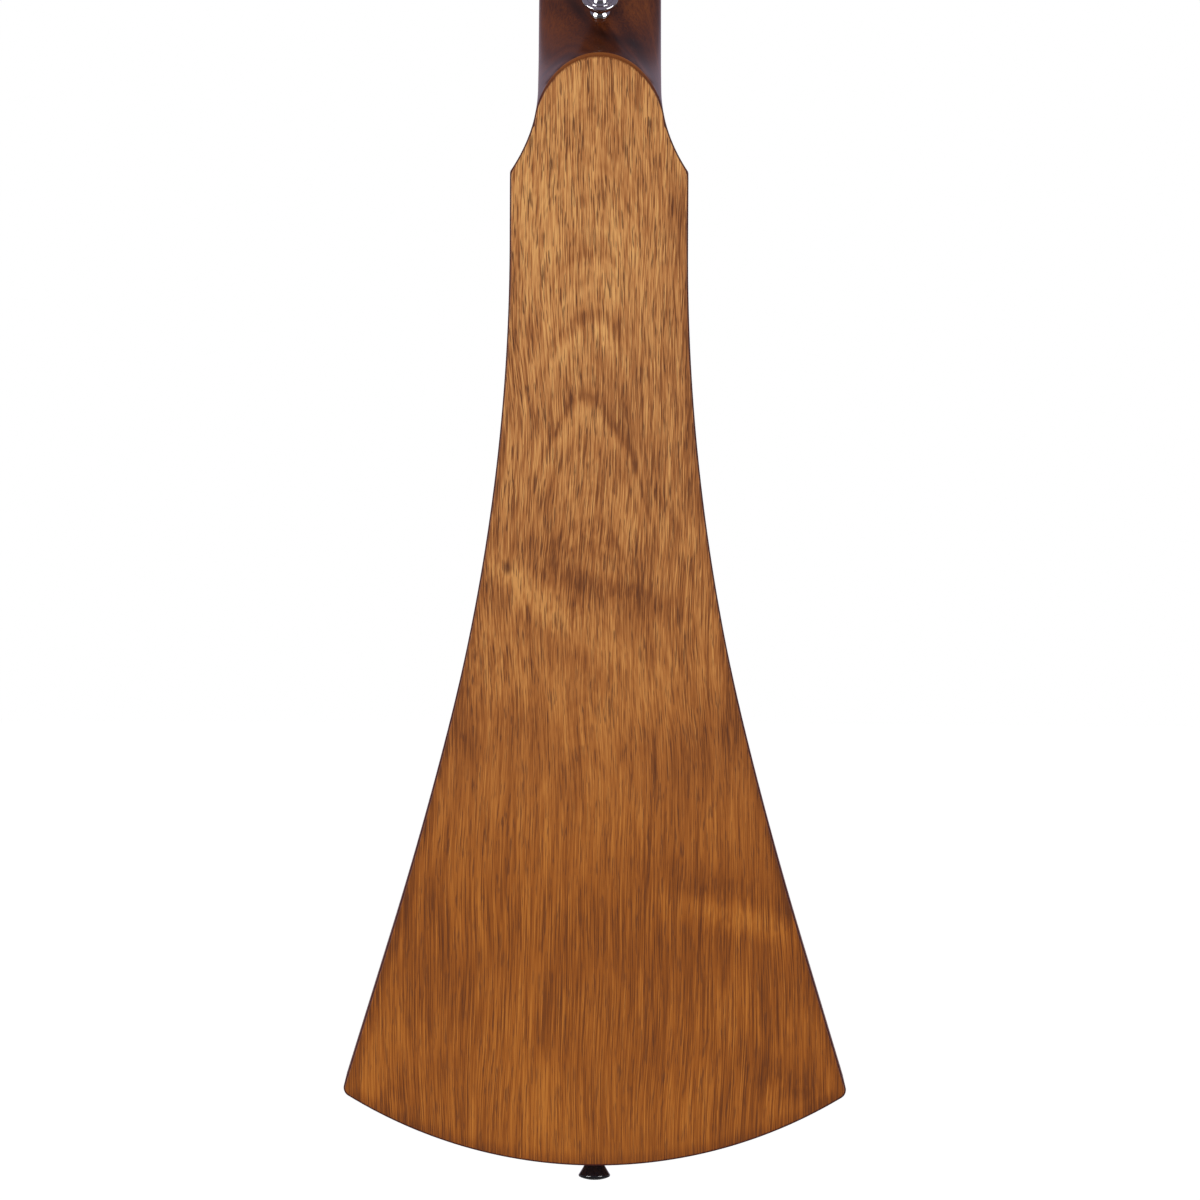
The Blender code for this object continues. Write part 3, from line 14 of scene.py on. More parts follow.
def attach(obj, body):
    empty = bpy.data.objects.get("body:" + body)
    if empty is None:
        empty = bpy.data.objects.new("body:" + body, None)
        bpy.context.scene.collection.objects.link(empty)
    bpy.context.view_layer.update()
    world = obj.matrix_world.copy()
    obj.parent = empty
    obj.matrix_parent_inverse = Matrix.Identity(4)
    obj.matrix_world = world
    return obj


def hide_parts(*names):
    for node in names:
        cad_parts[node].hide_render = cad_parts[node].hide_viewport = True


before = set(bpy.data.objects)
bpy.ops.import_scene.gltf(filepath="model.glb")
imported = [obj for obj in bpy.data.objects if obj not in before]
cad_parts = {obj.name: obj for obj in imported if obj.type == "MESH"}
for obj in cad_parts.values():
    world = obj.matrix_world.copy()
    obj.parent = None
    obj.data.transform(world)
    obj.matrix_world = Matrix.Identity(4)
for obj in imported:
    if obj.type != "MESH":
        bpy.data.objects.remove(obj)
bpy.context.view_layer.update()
scene = bpy.context.scene
MM = 0.001
GAP = 0.3 * MM

# Strings and fingerboard
SCALE_LENGTH = 609.6 * MM
FRET_COUNT = 18
BODY_FRET = 15
NUT_WIDTH = 43.0 * MM
NECK_WIDTH_AT_BODY = 45.8 * MM
NUT_THICKNESS = 5.0 * MM
NUT_SLOT_FLOOR = 6.1 * MM
BOARD_THICKNESS = 5.0 * MM
BOARD_OVERHANG = 4.5 * MM
BOARD_EDGE = 0.5 * MM
FRET_HEIGHT = 0.9 * MM
FRET_FOOT = 2.2 * MM
FRET_SINK = 0.4 * MM
FRET_END_SLOPE = 0.7 * MM
FRET_END_SHARE = 0.55
OCTAVE_FRET = 12
DOT_FRETS = (3, 5, 7, 9, 12, 15)
DOT_RADIUS = 3.0 * MM
SIDE_DOT_RADIUS = 1.0 * MM
SIDE_DOT_DEPTH = 0.9 * MM
INLAY_PROUD = 0.04 * MM
STRING_SPREAD_NUT = 35.5 * MM
STRING_SPREAD_SADDLE = 43.0 * MM
STRING_DIAMETERS = [0.33 * MM, 0.43 * MM, 0.62 * MM, 0.82 * MM, 1.07 * MM, 1.32 * MM]

# Body
BODY_LENGTH = 366.4 * MM
UPPER_WIDTH = 65.6 * MM
CORNER_TO_CORNER = 186.6 * MM
STRAIGHT_LENGTH = 27.6 * MM
FLARE_KNEE = 206.4 * MM
FLARE_END = 284.5 * MM
KNEE_SLOPE_SHARE = 0.812
TAIL_RADIUS = 175.0 * MM
CORNER_RADIUS = 3.5 * MM
SHOULDER_ROUND = 2.0 * MM
BODY_DEPTH = 50.0 * MM
BACK_THICKNESS = 3.0 * MM
TOP_THICKNESS = 2.6 * MM
RIB_THICKNESS = 2.3 * MM
SOUNDHOLE_RADIUS = 24.0 * MM
SOUNDHOLE_LIP = 0.5 * MM
SOUNDHOLE_FROM_SHOULDER = 88.0 * MM
BACK_EDGE_ROUND = 0.9 * MM
# Width of the painted shade inside the back's sides and tail
EDGE_SHADE = 6.0 * MM
TOP_EDGE_ROUND = 0.8 * MM
TONGUE_EDGE_ROUND = 2.6 * MM
TONGUE_EDGE_FADE = 20.0 * MM
TONGUE_LENGTH = 44.0 * MM
TONGUE_HALF_WIDTH = 24.4 * MM
TONGUE_OVAL_LENGTH = 30.0 * MM
TONGUE_SWEEP = math.radians(84)
ROSETTE_RINGS = ((27.0 * MM, 27.8 * MM), (28.6 * MM, 31.4 * MM), (32.2 * MM, 33.0 * MM))

# Neck and headstock
NECK_FLARE_LENGTH = 30.0 * MM
NECK_DEPTH_NUT = 14.0 * MM
NECK_DEPTH_HEEL = 17.0 * MM
NECK_SIDE_FLAT = 3.0 * MM
HEEL_SCOOP_LENGTH = 36.0 * MM
HEEL_SCOOP_SWEEP = 0.93
HEEL_EDGE = 1.2 * MM
HEEL_ROUND_FADE = 25.0 * MM
HEEL_SETTLE = 12.0 * MM
ELLIPSE_POWER = 2.0
HEEL_POWER = 3.6
HEAD_TILT = math.radians(12.0)
HEAD_LENGTH = 124.0 * MM
HEAD_THICKNESS = 14.0 * MM
HEAD_SHOULDER_HALF = 29.0 * MM
HEAD_SHOULDER_HEIGHT = 12.0 * MM
HEAD_TOP_HALF = 32.0 * MM
HEAD_TOP_RISE = 4.0 * MM
HEAD_ROOT_OVERLAP = 3.0 * MM
HEAD_ROOT_INSET = 0.5 * MM
HEAD_BLEND_LENGTH = 26.0 * MM
HEAD_EDGE = 1.5 * MM
HEAD_CORNER_ROUND = 4.0 * MM
HEAD_BEVEL = 0.9 * MM

# Tuners, in the headstock's tilted frame
TUNER_FIRST = 27.0 * MM
TUNER_PITCH = 36.0 * MM
POST_SIDE = 17.5 * MM
POST_RADIUS = 3.0 * MM
POST_WAIST_RADIUS = 2.4 * MM
POST_HEIGHT = 15.0 * MM
POST_CHAMFER = 0.8 * MM
POST_HOLE_HEIGHT = 11.0 * MM
POST_HOLE_RADIUS = 1.0 * MM
POST_SCREW_HEIGHT = 0.9 * MM
WAIST_FROM_HOLE = 0.6 * MM
WAIST_BELOW_STRING = 2.0 * MM
WAIST_SLOPE = 1.1 * MM
STRING_LEVEL = 5.5 * MM
COIL_SPACING = 1.06
MOST_COILS = 4
STRING_LEAVE = math.radians(1.4)
STRING_WRAP = math.radians(288)
BUSHING_RADIUS = 4.3 * MM
BUSHING_FLANGE_RADIUS = 5.5 * MM
BUSHING_FLANGE_THICKNESS = 1.0 * MM
BUSHING_LENGTH = 7.0 * MM
PLATE_THICKNESS = 1.0 * MM
PLATE_HALF_WIDTH = 8.5 * MM
PLATE_END = 9.0 * MM
PLATE_CORNER = 3.0 * MM
PLATE_EDGE = 0.3 * MM
GEAR_TEETH = 14
GEAR_TIP_RADIUS = 5.3 * MM
GEAR_PITCH_RADIUS = 4.9 * MM
GEAR_ROOT_RADIUS = 4.3 * MM
GEAR_THICKNESS = 2.0 * MM
GEAR_CHAMFER = 0.25 * MM
TOOTH_ROOT_HALF = 0.5 * MM
TOOTH_TIP_HALF = 0.28 * MM
WORM_TIP_RADIUS = 2.6 * MM
WORM_PITCH_RADIUS = 2.2 * MM
WORM_SHAFT_RADIUS = 1.6 * MM
WORM_LENGTH = 7.8 * MM
THREAD_ROOT_HALF = 0.5 * MM
THREAD_TIP_HALF = 0.2 * MM
LUG_THICKNESS = 1.2 * MM
LUG_WIDTH = 7.0 * MM
LUG_OVERHANG = 1.6 * MM
BUTTON_LENGTH = 14.0 * MM
BUTTON_WIDTH = 16.0 * MM
BUTTON_THICKNESS = 6.4 * MM
BUTTON_CLEAR = 5.0 * MM
BUTTON_PINCH = 0.16
BUTTON_PINCH_AT = 0.16
BUTTON_PINCH_WIDTH = 0.14
COLLAR_RADIUS = 2.7 * MM
COLLAR_LENGTH = 4.0 * MM
COLLAR_IN_BUTTON = 2.5 * MM
PLATE_SCREW_RADIUS = 2.1 * MM
PLATE_SCREW_HEIGHT = 1.1 * MM
PLATE_SCREW_INSET = 3.4 * MM
PLATE_SCREW_SHANK = 1.2 * MM
FIRST_SCREW_TURN = math.radians(25)
NEXT_SCREW_TURN = math.radians(47)
# Width, length and depth of the cross in a screw's head
GEAR_SCREW_CROSS = (0.4 * MM, 2.2 * MM, 0.5 * MM)
PLATE_SCREW_CROSS = (0.5 * MM, 2.4 * MM, 0.6 * MM)
STRAP_SCREW_CROSS = (0.9 * MM, 4.2 * MM, 1.0 * MM)

# Bridge
BRIDGE_HALF_WIDTH = 56.0 * MM
BRIDGE_CENTRE_HALF = 31.0 * MM
BRIDGE_LENGTH = 27.0 * MM
BRIDGE_HEIGHT = 8.0 * MM
BRIDGE_WING_HEIGHT = 3.2 * MM
BRIDGE_RAMP = 10.0 * MM
BRIDGE_EDGE = 1.0 * MM
SADDLE_HALF_LENGTH = 29.0 * MM
SADDLE_THICKNESS = 3.0 * MM
SADDLE_SLOT_DEPTH = 4.5 * MM
SADDLE_TOP = 9.9 * MM
SADDLE_COMPENSATION = 2.0 * MM
SADDLE_FROM_BRIDGE_FRONT = 8.0 * MM
PIN_FROM_SADDLE = 11.0 * MM
PIN_RADIUS = 2.5 * MM
PIN_TIP_RADIUS = 1.85 * MM
PIN_HEAD_RADIUS = 3.7 * MM
PIN_HEAD_HEIGHT = 3.4 * MM
PIN_REACH = 11.0 * MM
PIN_DOT_RADIUS = 1.4 * MM
PIN_STRING_OFFSET = 3.7 * MM
STRING_BEND = 1.5 * MM
STRING_SLOT_HALF = 1.15 * MM
STRING_SLOT_REACH = 5.6 * MM
BRIDGE_PLATE_THICKNESS = 2.6 * MM
BALL_RADIUS = 1.4 * MM
BALL_LENGTH = 3.2 * MM

# Strap button on the heel and end pin at the tail
STRAP_FROM_TONGUE = 14.7 * MM
STRAP_BASE_RADIUS = 3.8 * MM
STRAP_BORE = 2.2 * MM
STRAP_FLANGE_RADIUS = 7.0 * MM
STRAP_HEIGHT = 9.6 * MM
STRAP_DISH = 1.0 * MM
STRAP_RIM_SHARE = 0.14
STRAP_SEAT = 0.45 * MM
# Outline of the button, as shares of the flange's or the foot's radius and of the height. The
# foot slopes at about the angle that faces the back, so it catches the light.
STRAP_CUP = (
    (0.985, 0.88),
    (0.95, 0.80),
    (0.90, 0.70),
    (0.82, 0.60),
    (0.71, 0.49),
    (0.57, 0.36),
    (0.44, 0.26),
)
STRAP_FOOT = (
    (0.68, 0.18),
    (0.72, 0.16),
    (0.79, 0.137),
    (0.88, 0.105),
    (0.95, 0.075),
    (0.99, 0.045),
    (1.0, 0.0),
)
STRAP_SCREW_HEAD_RADIUS = 3.5 * MM
STRAP_SCREW_HEAD_HEIGHT = 1.8 * MM
STRAP_SCREW_SHANK = 1.8 * MM
END_PIN_BASE_RADIUS = 4.4 * MM
END_PIN_NECK_RADIUS = 3.5 * MM
END_PIN_FLANGE_RADIUS = 5.9 * MM
END_PIN_FLAT_RADIUS = 2.2 * MM
END_PIN_HEIGHT = 7.7 * MM
END_PIN_FLARE_HEIGHT = 6.1 * MM
END_PIN_NECK_HEIGHT = 1.7 * MM
END_PIN_RIM = 0.65 * MM

# The photograph's frame, in real sizes at the back's surface
VIEW_WIDTH = 441.5 * MM
VIEW_CENTRE = Vector((1.05 * MM, -BODY_DEPTH, -510.6 * MM))
CAMERA_DISTANCE = 3.9
CAMERA_LEVEL = -0.30
CAMERA_ROLL = math.radians(0.28)
FLOOR_LEVEL = -1.15
FLOOR_RADIUS = 9.0

# Light: the world's level for the object, and the levels that polished surfaces mirror
AMBIENT = 0.42
ROOM = 0.18
BACKDROP = 0.38
BACKDROP_FROM = 0.80
BACKDROP_FULL = 0.97
FLOOR_GREY = 0.5
FLOOR_GLOW = 0.8
FLOOR_DIM = 0.05
FLOOR_DIM_TO = 0.8
FLOOR_WHITE_FROM = 3.0


def fret_z(fret):
    return -SCALE_LENGTH * (1 - 2 ** (-fret / 12))


NUMBERS = range(1, 7)
SHOULDER = fret_z(BODY_FRET)
TAIL = SHOULDER - BODY_LENGTH
TAIL_CENTRE = TAIL + TAIL_RADIUS
TONGUE_TOP = SHOULDER + TONGUE_LENGTH
BACK_INNER = -BODY_DEPTH + BACK_THICKNESS
RIB_BACK = BACK_INNER + GAP
RIB_FRONT = -TOP_THICKNESS - GAP
HEEL_DEPTH = -BACK_INNER - GAP
SADDLE_Z = -SCALE_LENGTH - SADDLE_COMPENSATION
BRIDGE_FRONT = SADDLE_Z + SADDLE_FROM_BRIDGE_FRONT
PIN_Z = SADDLE_Z - PIN_FROM_SADDLE
BOARD_END = fret_z(FRET_COUNT) - BOARD_OVERHANG
CENTRE_DISTANCE = GEAR_PITCH_RADIUS + WORM_PITCH_RADIUS
THREAD_LEAD = 2 * math.pi * GEAR_PITCH_RADIUS / GEAR_TEETH
PLATE_BACK = -HEAD_THICKNESS - GAP - PLATE_THICKNESS
GEAR_LEVEL = PLATE_BACK - GAP - WORM_TIP_RADIUS
HOLE_CENTRE = Vector((0, 0, SHOULDER - SOUNDHOLE_FROM_SHOULDER))
HEAD = Matrix.Translation((0, 0, NUT_THICKNESS)) @ Matrix.Rotation(HEAD_TILT, 4, "X")
POST_ROWS = [TUNER_FIRST + TUNER_PITCH * row for row in range(3)]


# Rows of numbers and points
def spread(first, last, steps):
    """Evenly spaced values, with both ends."""
    return [first + (last - first) * step / steps for step in range(steps + 1)]


def arc(x, y, radius, first, last, steps):
    """Points round a centre, from the first angle to the last."""
    angles = spread(first, last, steps)
    return [(x + radius * math.cos(angle), y + radius * math.sin(angle)) for angle in angles]


# Body outline
def tail_rise(half):
    return TAIL_RADIUS - math.sqrt(TAIL_RADIUS**2 - half**2)


CORNER_DOWN = BODY_LENGTH - tail_rise(CORNER_TO_CORNER / 2)
UPPER_FLARE = FLARE_KNEE - STRAIGHT_LENGTH
LOWER_FLARE = FLARE_END - FLARE_KNEE
FLARE_RUN = KNEE_SLOPE_SHARE * UPPER_FLARE / 2 + (1 + KNEE_SLOPE_SHARE) * LOWER_FLARE / 2
FLARE_SLOPE = (CORNER_TO_CORNER - UPPER_WIDTH) / 2 / (FLARE_RUN + CORNER_DOWN - FLARE_END)
KNEE_SLOPE = FLARE_SLOPE * KNEE_SLOPE_SHARE


def body_half(down):
    """Half the body's width at a distance below the shoulder, and its slope there."""
    above = min(max(down - STRAIGHT_LENGTH, 0.0), UPPER_FLARE)
    below = min(max(down - FLARE_KNEE, 0.0), LOWER_FLARE)
    straight = max(down - FLARE_END, 0.0)
    slope = KNEE_SLOPE * above / UPPER_FLARE
    gain = (FLARE_SLOPE - KNEE_SLOPE) * below / LOWER_FLARE
    half = UPPER_WIDTH / 2 + slope * above / 2
    half += (slope + gain / 2) * below + (slope + gain) * straight
    return half, slope + gain


# Materials
class Graph:
    """Shader nodes, made by short calls. Any value may be a number, a tuple or a socket."""

    def __init__(self, owner):
        owner.use_nodes = True
        self.owner = owner
        self.tree = owner.node_tree

    def put(self, socket, value):
        if isinstance(value, bpy.types.NodeSocket):
            self.tree.links.new(value, socket)
        else:
            socket.default_value = value

    def add(self, kind, inputs=None, **settings):
        node = self.tree.nodes.new("ShaderNode" + kind)
        for key, value in settings.items():
            setattr(node, key, value)
        for key, value in (inputs or {}).items():
            self.put(node.inputs[key], value)
        return node

    def place(self, vector, scale=(1, 1, 1), shift=(0, 0, 0), turn=(0, 0, 0)):
        """Scaled, then turned, then shifted."""
        values = {"Vector": vector, "Scale": scale, "Location": shift, "Rotation": turn}
        return self.add("Mapping", values).outputs[0]

    def axes(self, vector):
        return self.add("SeparateXYZ", {0: vector}).outputs

    def join(self, x, y=0.0, z=0.0):
        return self.add("CombineXYZ", {0: x, 1: y, 2: z}).outputs[0]

    def length(self, vector):
        return self.add("VectorMath", {0: vector}, operation="LENGTH").outputs["Value"]

    def math(self, operation, first, second=0.0, third=0.0):
        return self.add("Math", {0: first, 1: second, 2: third}, operation=operation).outputs[0]

    def plus(self, first, second):
        return self.math("ADD", first, second)

    def times(self, first, second):
        return self.math("MULTIPLY", first, second)

    def times_plus(self, first, second, third):
        """The first times the second, plus the third."""
        return self.math("MULTIPLY_ADD", first, second, third)

    def noise(self, vector, detail=2.0, roughness=0.5, distortion=0.0):
        values = {"Vector": vector, "Scale": 1.0, "Detail": detail, "Roughness": roughness}
        return self.add("TexNoise", values | {"Distortion": distortion}).outputs[0]

    def grain(self, vector, sizes, detail=2.0, roughness=0.5, shift=(0, 0, 0), distortion=0.0):
        """Noise whose marks are of about these sizes along x, y and z."""
        scale = [1 / size for size in sizes]
        return self.noise(self.place(vector, scale, shift), detail, roughness, distortion)

    def span(self, value, low, high, first=0.0, last=1.0, smooth=False):
        """The value carried from the range low..high to first..last, and held beyond its ends."""
        values = {0: value, 1: low, 2: high, 3: first, 4: last}
        kind = "SMOOTHSTEP" if smooth else "LINEAR"
        return self.add("MapRange", values, interpolation_type=kind).outputs[0]

    def ramp(self, value, stops):
        """A ramp of (position, colour) stops."""
        node = self.add("ValToRGB", {0: value})
        marks = node.color_ramp.elements
        while len(marks) < len(stops):
            marks.new(0.5)
        for mark, (position, colour) in zip(marks, stops):
            mark.position = position
            mark.color = (*colour, 1)
        return node.outputs[0]

    def tones(self, value, stops):
        """A ramp of (position, red, green, blue) stops, the colours in 0..255."""
        return self.ramp(value, [(position, srgb(*colour)) for position, *colour in stops])

    def mix(self, share, first, second):
        node = self.add("Mix", data_type="RGBA")
        for index, value in ((0, share), (6, first), (7, second)):
            self.put(node.inputs[index], (*value, 1) if isinstance(value, tuple) else value)
        return node.outputs[2]

    def bump(self, height, depth, strength):
        """Relief from a height of 0 to 1, depth in millimetres."""
        values = {"Height": height, "Distance": depth * MM, "Strength": strength}
        return self.add("Bump", values).outputs[0]

    def rays(self, *names):
        """1 for rays of the named kinds, 0 for the rest."""
        kinds = self.add("LightPath").outputs
        share = kinds[names[0]]
        for name in names[1:]:
            share = self.math("MAXIMUM", share, kinds[name])
        return share

    def show(self, output, lit, mirrored, seen):
        """One shader lights the object, one is mirrored in it, and one is seen by the camera."""
        lit = self.add("MixShader", {0: self.rays("Is Glossy Ray"), 1: lit, 2: mirrored}).outputs[0]
        direct = self.rays("Is Camera Ray", "Is Transmission Ray")
        shown = self.add("MixShader", {0: direct, 1: lit, 2: seen}).outputs[0]
        self.put(self.tree.nodes[output].inputs["Surface"], shown)


class Surface(Graph):
    """A material that's laid out in millimetres."""

    def __init__(self, name):
        super().__init__(bpy.data.materials.new(name))
        self.here = self.place(self.add("TexCoord").outputs["Object"], scale=(1000, 1000, 1000))

    def finish(self, values):
        """Give the shader its inputs, and return the material."""
        shader = self.tree.nodes["Principled BSDF"]
        for key, value in values.items():
            self.put(shader.inputs[key], value)
        return self.owner


def srgb(red, green, blue):
    """A colour written in 0..255 display values, as linear light."""
    shares = [value / 255 for value in (red, green, blue)]
    return tuple(v / 12.92 if v <= 0.04045 else ((v + 0.055) / 1.055) ** 2.4 for v in shares)


# Figure of the back: soft streaks of light or shade, each (x, z, length, width, lean, strength)
# in millimetres and degrees from the horizontal.
BACK_GLEAMS = [
    (-29, -504, 46, 13, -41, 0.38),
    (-6, -523, 50, 14, -30, 0.28),
    (-4, -543, 70, 28, -15, 0.12),
    (-12, -502, 56, 9, -14, -0.22),
    (17, -511, 54, 12, -10, -0.12),
    (-3, -490, 64, 13, -5, -0.10),
    (54, -628, 48, 12, -14, 0.28),
    (44, -616, 60, 16, -16, -0.13),
    (26, -478, 30, 4, -62, -0.18),
    (-28, -372, 26, 70, 0, 0.14),
    (20, -400, 4, 16, 0, -0.20),
    (-70, -690, 50, 12, 28, -0.10),
    (74, -690, 60, 14, -28, -0.16),
    (0, -340, 70, 90, 0, 0.10),
    (3, -387, 34, 56, 0, 0.13),
    (-44, -529, 30, 50, 18, 0.20),
    (38, -533, 30, 60, -18, 0.10),
    (-3, -531, 24, 40, 0, -0.09),
]
NECK_GLEAMS = [
    (-9, -293, 16, 4, -52, -0.15),
    (5, -304, 24, 4, -18, -0.14),
    (12, -310, 20, 8, -50, -0.07),
    (13, -293, 14, 18, 0, 0.16),
    (-15, -300, 16, 9, -8, 0.07),
]
BACK_KNOT = (-33, -499, 1.5)
# Growth rings that rise to a peak near the middle: (peak, width, reach to the sides, strength).
BACK_RINGS = [
    (-437.5, 3.0, 32, -0.20),
    (-443.5, 5.0, 24, 0.14),
    (-404.0, 4.0, 19, -0.16),
    (-413.0, 5.0, 20, 0.12),
    (-484.0, 8.0, 34, -0.12),
    (-456.0, 3.0, 26, -0.08),
    (-380.0, 3.0, 14, -0.10),
    (-524.0, 10.0, 44, -0.06),
    (-560.0, 5.0, 40, 0.06),
]
RING_MIDDLE = -4.0
RING_BOW = 0.076

def gleams(g, light, fleck, marks):
    """Soft streaks laid over the lightness of a wood, broken up by its flecks."""
    for place_x, place_z, length, width, lean, strength in marks:
        moved = g.place(g.here, shift=(-place_x, 0, -place_z))
        turned = g.place(moved, turn=(0, math.radians(lean), 0))
        reach = g.length(g.place(turned, scale=(2 / length, 0, 2 / width)))
        shade = g.span(reach, 0.0, 1.5, strength, 0.0, smooth=True)
        light = g.plus(light, g.times(shade, g.span(fleck, 0.3, 0.7, 0.5, 1.5)))
    return light


def distance_to_edge(g, x, z):
    """How far a place on the back lies inside the sides and the tail."""
    downs = spread(BODY_LENGTH, 0.0, 16)
    halves = [(step / 16, (body_half(down)[0] / BODY_LENGTH,) * 3) for step, down in enumerate(downs)]
    along = g.span(z, TAIL / MM, SHOULDER / MM)
    half = g.times(g.ramp(along, halves), BODY_LENGTH / MM)
    from_side = g.math("SUBTRACT", half, g.math("ABSOLUTE", x))
    to_centre = g.place(g.join(x, 0.0, z), shift=(0, 0, -TAIL_CENTRE / MM))
    from_tail = g.math("SUBTRACT", TAIL_RADIUS / MM, g.length(to_centre))
    return g.math("MINIMUM", from_side, g.plus(from_tail, g.span(z, -600, -590, 0.0, 99.0)))


def back_wood():
    """Plain-sawn golden brown wood with short dark pores, calmer at the tail, and darker there partly by
    painted shade.
    """
    g = Surface("back_wood")
    x, y, z = g.axes(g.here)
    calm = g.span(z, -650, -470, 0.4, 1.0, smooth=True)
    wander = g.times_plus(g.grain(g.here, (55, 55, 120), 1.0), 12.0, -6.0)
    near = g.grain(g.here, (9, 9, 30), 2.0)
    ripple = g.times(g.times_plus(near, 1.6, -0.8), calm)
    line = g.join(g.plus(g.plus(x, wander), ripple), y, z)

    fibre = g.grain(line, (0.36, 0.36, 15), 2.0, 0.6)
    streak = g.grain(line, (1.1, 1.1, 24), 2.0, 0.6, shift=(2, 6, 4))
    band = g.grain(line, (4.5, 4.5, 85), 1.0)
    pore = g.grain(line, (0.33, 0.33, 7), 1.0, 0.5, shift=(7, 3, 11))
    long_fibre = g.grain(line, (0.42, 0.42, 34), 2.0, 0.6, shift=(6, 1, 8))
    fleck = g.grain(line, (1.5, 1.5, 4), 1.0, shift=(1, 8, 5))
    patch = g.grain(g.here, (38, 38, 55), 2.0, shift=(3, 5, 2))

    # The rings are cut nearly flat, so they bow up to a peak near the middle.
    aside = g.plus(g.times_plus(wander, 0.25, x), -RING_MIDDLE)
    bowed = g.times(g.times(aside, aside), RING_BOW)
    height = g.plus(g.plus(z, bowed), g.times(ripple, 7.0))
    aside = g.math("ABSOLUTE", aside)
    arch = g.noise(g.join(g.times(height, 1 / 7.0)), 2.0, 0.6)
    arch_place = g.span(z, -640, -540, smooth=True)

    # Low on the back the fibres run longer and straighter, and the streaks grow calm.
    low = g.span(z, -520, -620)
    fibre = g.times_plus(g.math("SUBTRACT", long_fibre, fibre), low, fibre)
    light = g.times_plus(fibre, 2.0, -0.5)
    light = g.times_plus(g.plus(streak, -0.5), g.span(low, 0.0, 1.0, 0.75, 0.45), light)
    for layer, share in ((band, 0.4), (patch, 0.55)):
        light = g.plus(light, g.times_plus(layer, share, -share / 2))
    light = g.plus(light, g.times(g.times_plus(arch, 0.4, -0.2), arch_place))
    mottled = g.span(fleck, 0.3, 0.7, 0.5, 1.5)
    for peak, width, side, strength in BACK_RINGS:
        off = g.math("DIVIDE", g.math("SUBTRACT", height, peak), width)
        ring = g.math("EXPONENT", g.times(g.times(off, off), -1.0))
        ring = g.times(ring, g.span(aside, side * 0.5, side, strength, 0.0, smooth=True))
        light = g.times_plus(ring, mottled, light)
    light = gleams(g, light, fleck, BACK_GLEAMS)
    # Painted shade: the colour darkens within a few millimetres of the sides and of the tail, where the
    # rounded edge turns from the light.
    deep = g.span(distance_to_edge(g, x, z), 0.0, EDGE_SHADE / MM, -0.22, 0.0, smooth=True)
    light = g.plus(light, g.times(deep, g.span(z, SHOULDER / MM, SHOULDER / MM - 20)))

    # Darker tones towards the tail: partly the wood's own deeper colour, partly painted shade for the light
    # falling off down the back.
    down = g.span(z, -400, -640, smooth=True)
    colour = g.mix(down, g.tones(light, UPPER_BACK), g.tones(light, LOWER_BACK))
    dark = g.times(g.span(pore, 0.58, 0.66, 0.0, 0.8), g.span(z, -640, -450, 0.65, 1.0))
    colour = g.mix(dark, colour, srgb(82, 42, 22))
    knot_x, knot_z, knot_size = BACK_KNOT
    knot = g.place(g.here, shift=(-knot_x, 0, -knot_z))
    knot = g.length(g.place(knot, scale=(1 / knot_size, 0, 0.6 / knot_size)))
    colour = g.mix(g.span(knot, 0.4, 1.3, 0.6, 0.0), colour, srgb(70, 30, 14))
    # The rounded edge cuts through the fibres and takes a plainer colour. Its darkness along the sides and
    # the tail is partly painted shade. Across the tongue's end, a dark line by the face is painted shade, and
    # the paler band above it is a painted highlight.
    tongue = g.span(z, TONGUE_TOP / MM - 18, TONGUE_TOP / MM - 6)
    face = -BODY_DEPTH / MM
    tongue_band_with_painted_highlight = g.mix(g.span(y, face + 0.1, face + 1.6), srgb(98, 48, 20), srgb(162, 92, 44))
    edge_grain_shade_and_highlight = g.mix(tongue, srgb(72, 32, 34), tongue_band_with_painted_highlight)
    edge = g.span(y, face + 0.02, g.span(tongue, 0.0, 1.0, face + 0.12, face + 0.3), 0.0, 0.94)
    return g.finish(
        {
            "Base Color": g.mix(edge, colour, edge_grain_shade_and_highlight),
            "Normal": g.bump(fibre, 0.05, 0.4),
            "Specular IOR Level": g.span(edge, 0.0, 1.0, 0.3, 0.12),
            "Roughness": 0.45,
        }
    )


def grained(
    name,
    stops,
    ring,
    fibre,
    roughness,
    pores=None,
    coat=0.0,
    specular=0.5,
    tilt=(0, 0, 0),
    along=2,
    depth=0.03,
    marks=(),
):
    """Wood with rings (width, centre) round a tilted axis and fibres (width, length) along an axis."""
    g = Surface(name)
    turned = g.place(g.here, turn=[math.radians(angle) for angle in tilt])
    ring_width, centre = ring
    flat = [0.0 if axis == along else 1.0 for axis in range(3)]
    sway = g.grain(g.here, (35, 35, 70), 2.0)
    reach = g.length(g.place(g.place(turned, shift=[-value for value in centre]), scale=flat))
    reach = g.plus(reach, g.times(sway, ring_width * 2.2))
    rings = g.noise(g.join(g.math("DIVIDE", reach, ring_width)), 2.0, 0.6)
    width, length = fibre
    streak = g.grain(g.here, [length if axis == along else width for axis in range(3)], 3.0, 0.6)
    light = g.plus(g.times(rings, 0.62), g.times(streak, 0.38))
    colour = g.tones(gleams(g, light, streak, marks), stops)
    if pores:
        share, *pore_colour = pores
        sizes = [length * 0.45 if axis == along else width * 0.55 for axis in range(3)]
        spot = g.grain(g.here, sizes, 1.0, shift=(5, 9, 4))
        colour = g.mix(g.span(spot, 0.6, 0.74, 0.0, share), colour, srgb(*pore_colour))
    return g.finish(
        {
            "Base Color": colour,
            "Normal": g.bump(streak, depth, 0.5),
            "Specular IOR Level": specular,
            "Roughness": roughness,
            "Coat Weight": coat,
            "Coat Roughness": 0.12,
        }
    )


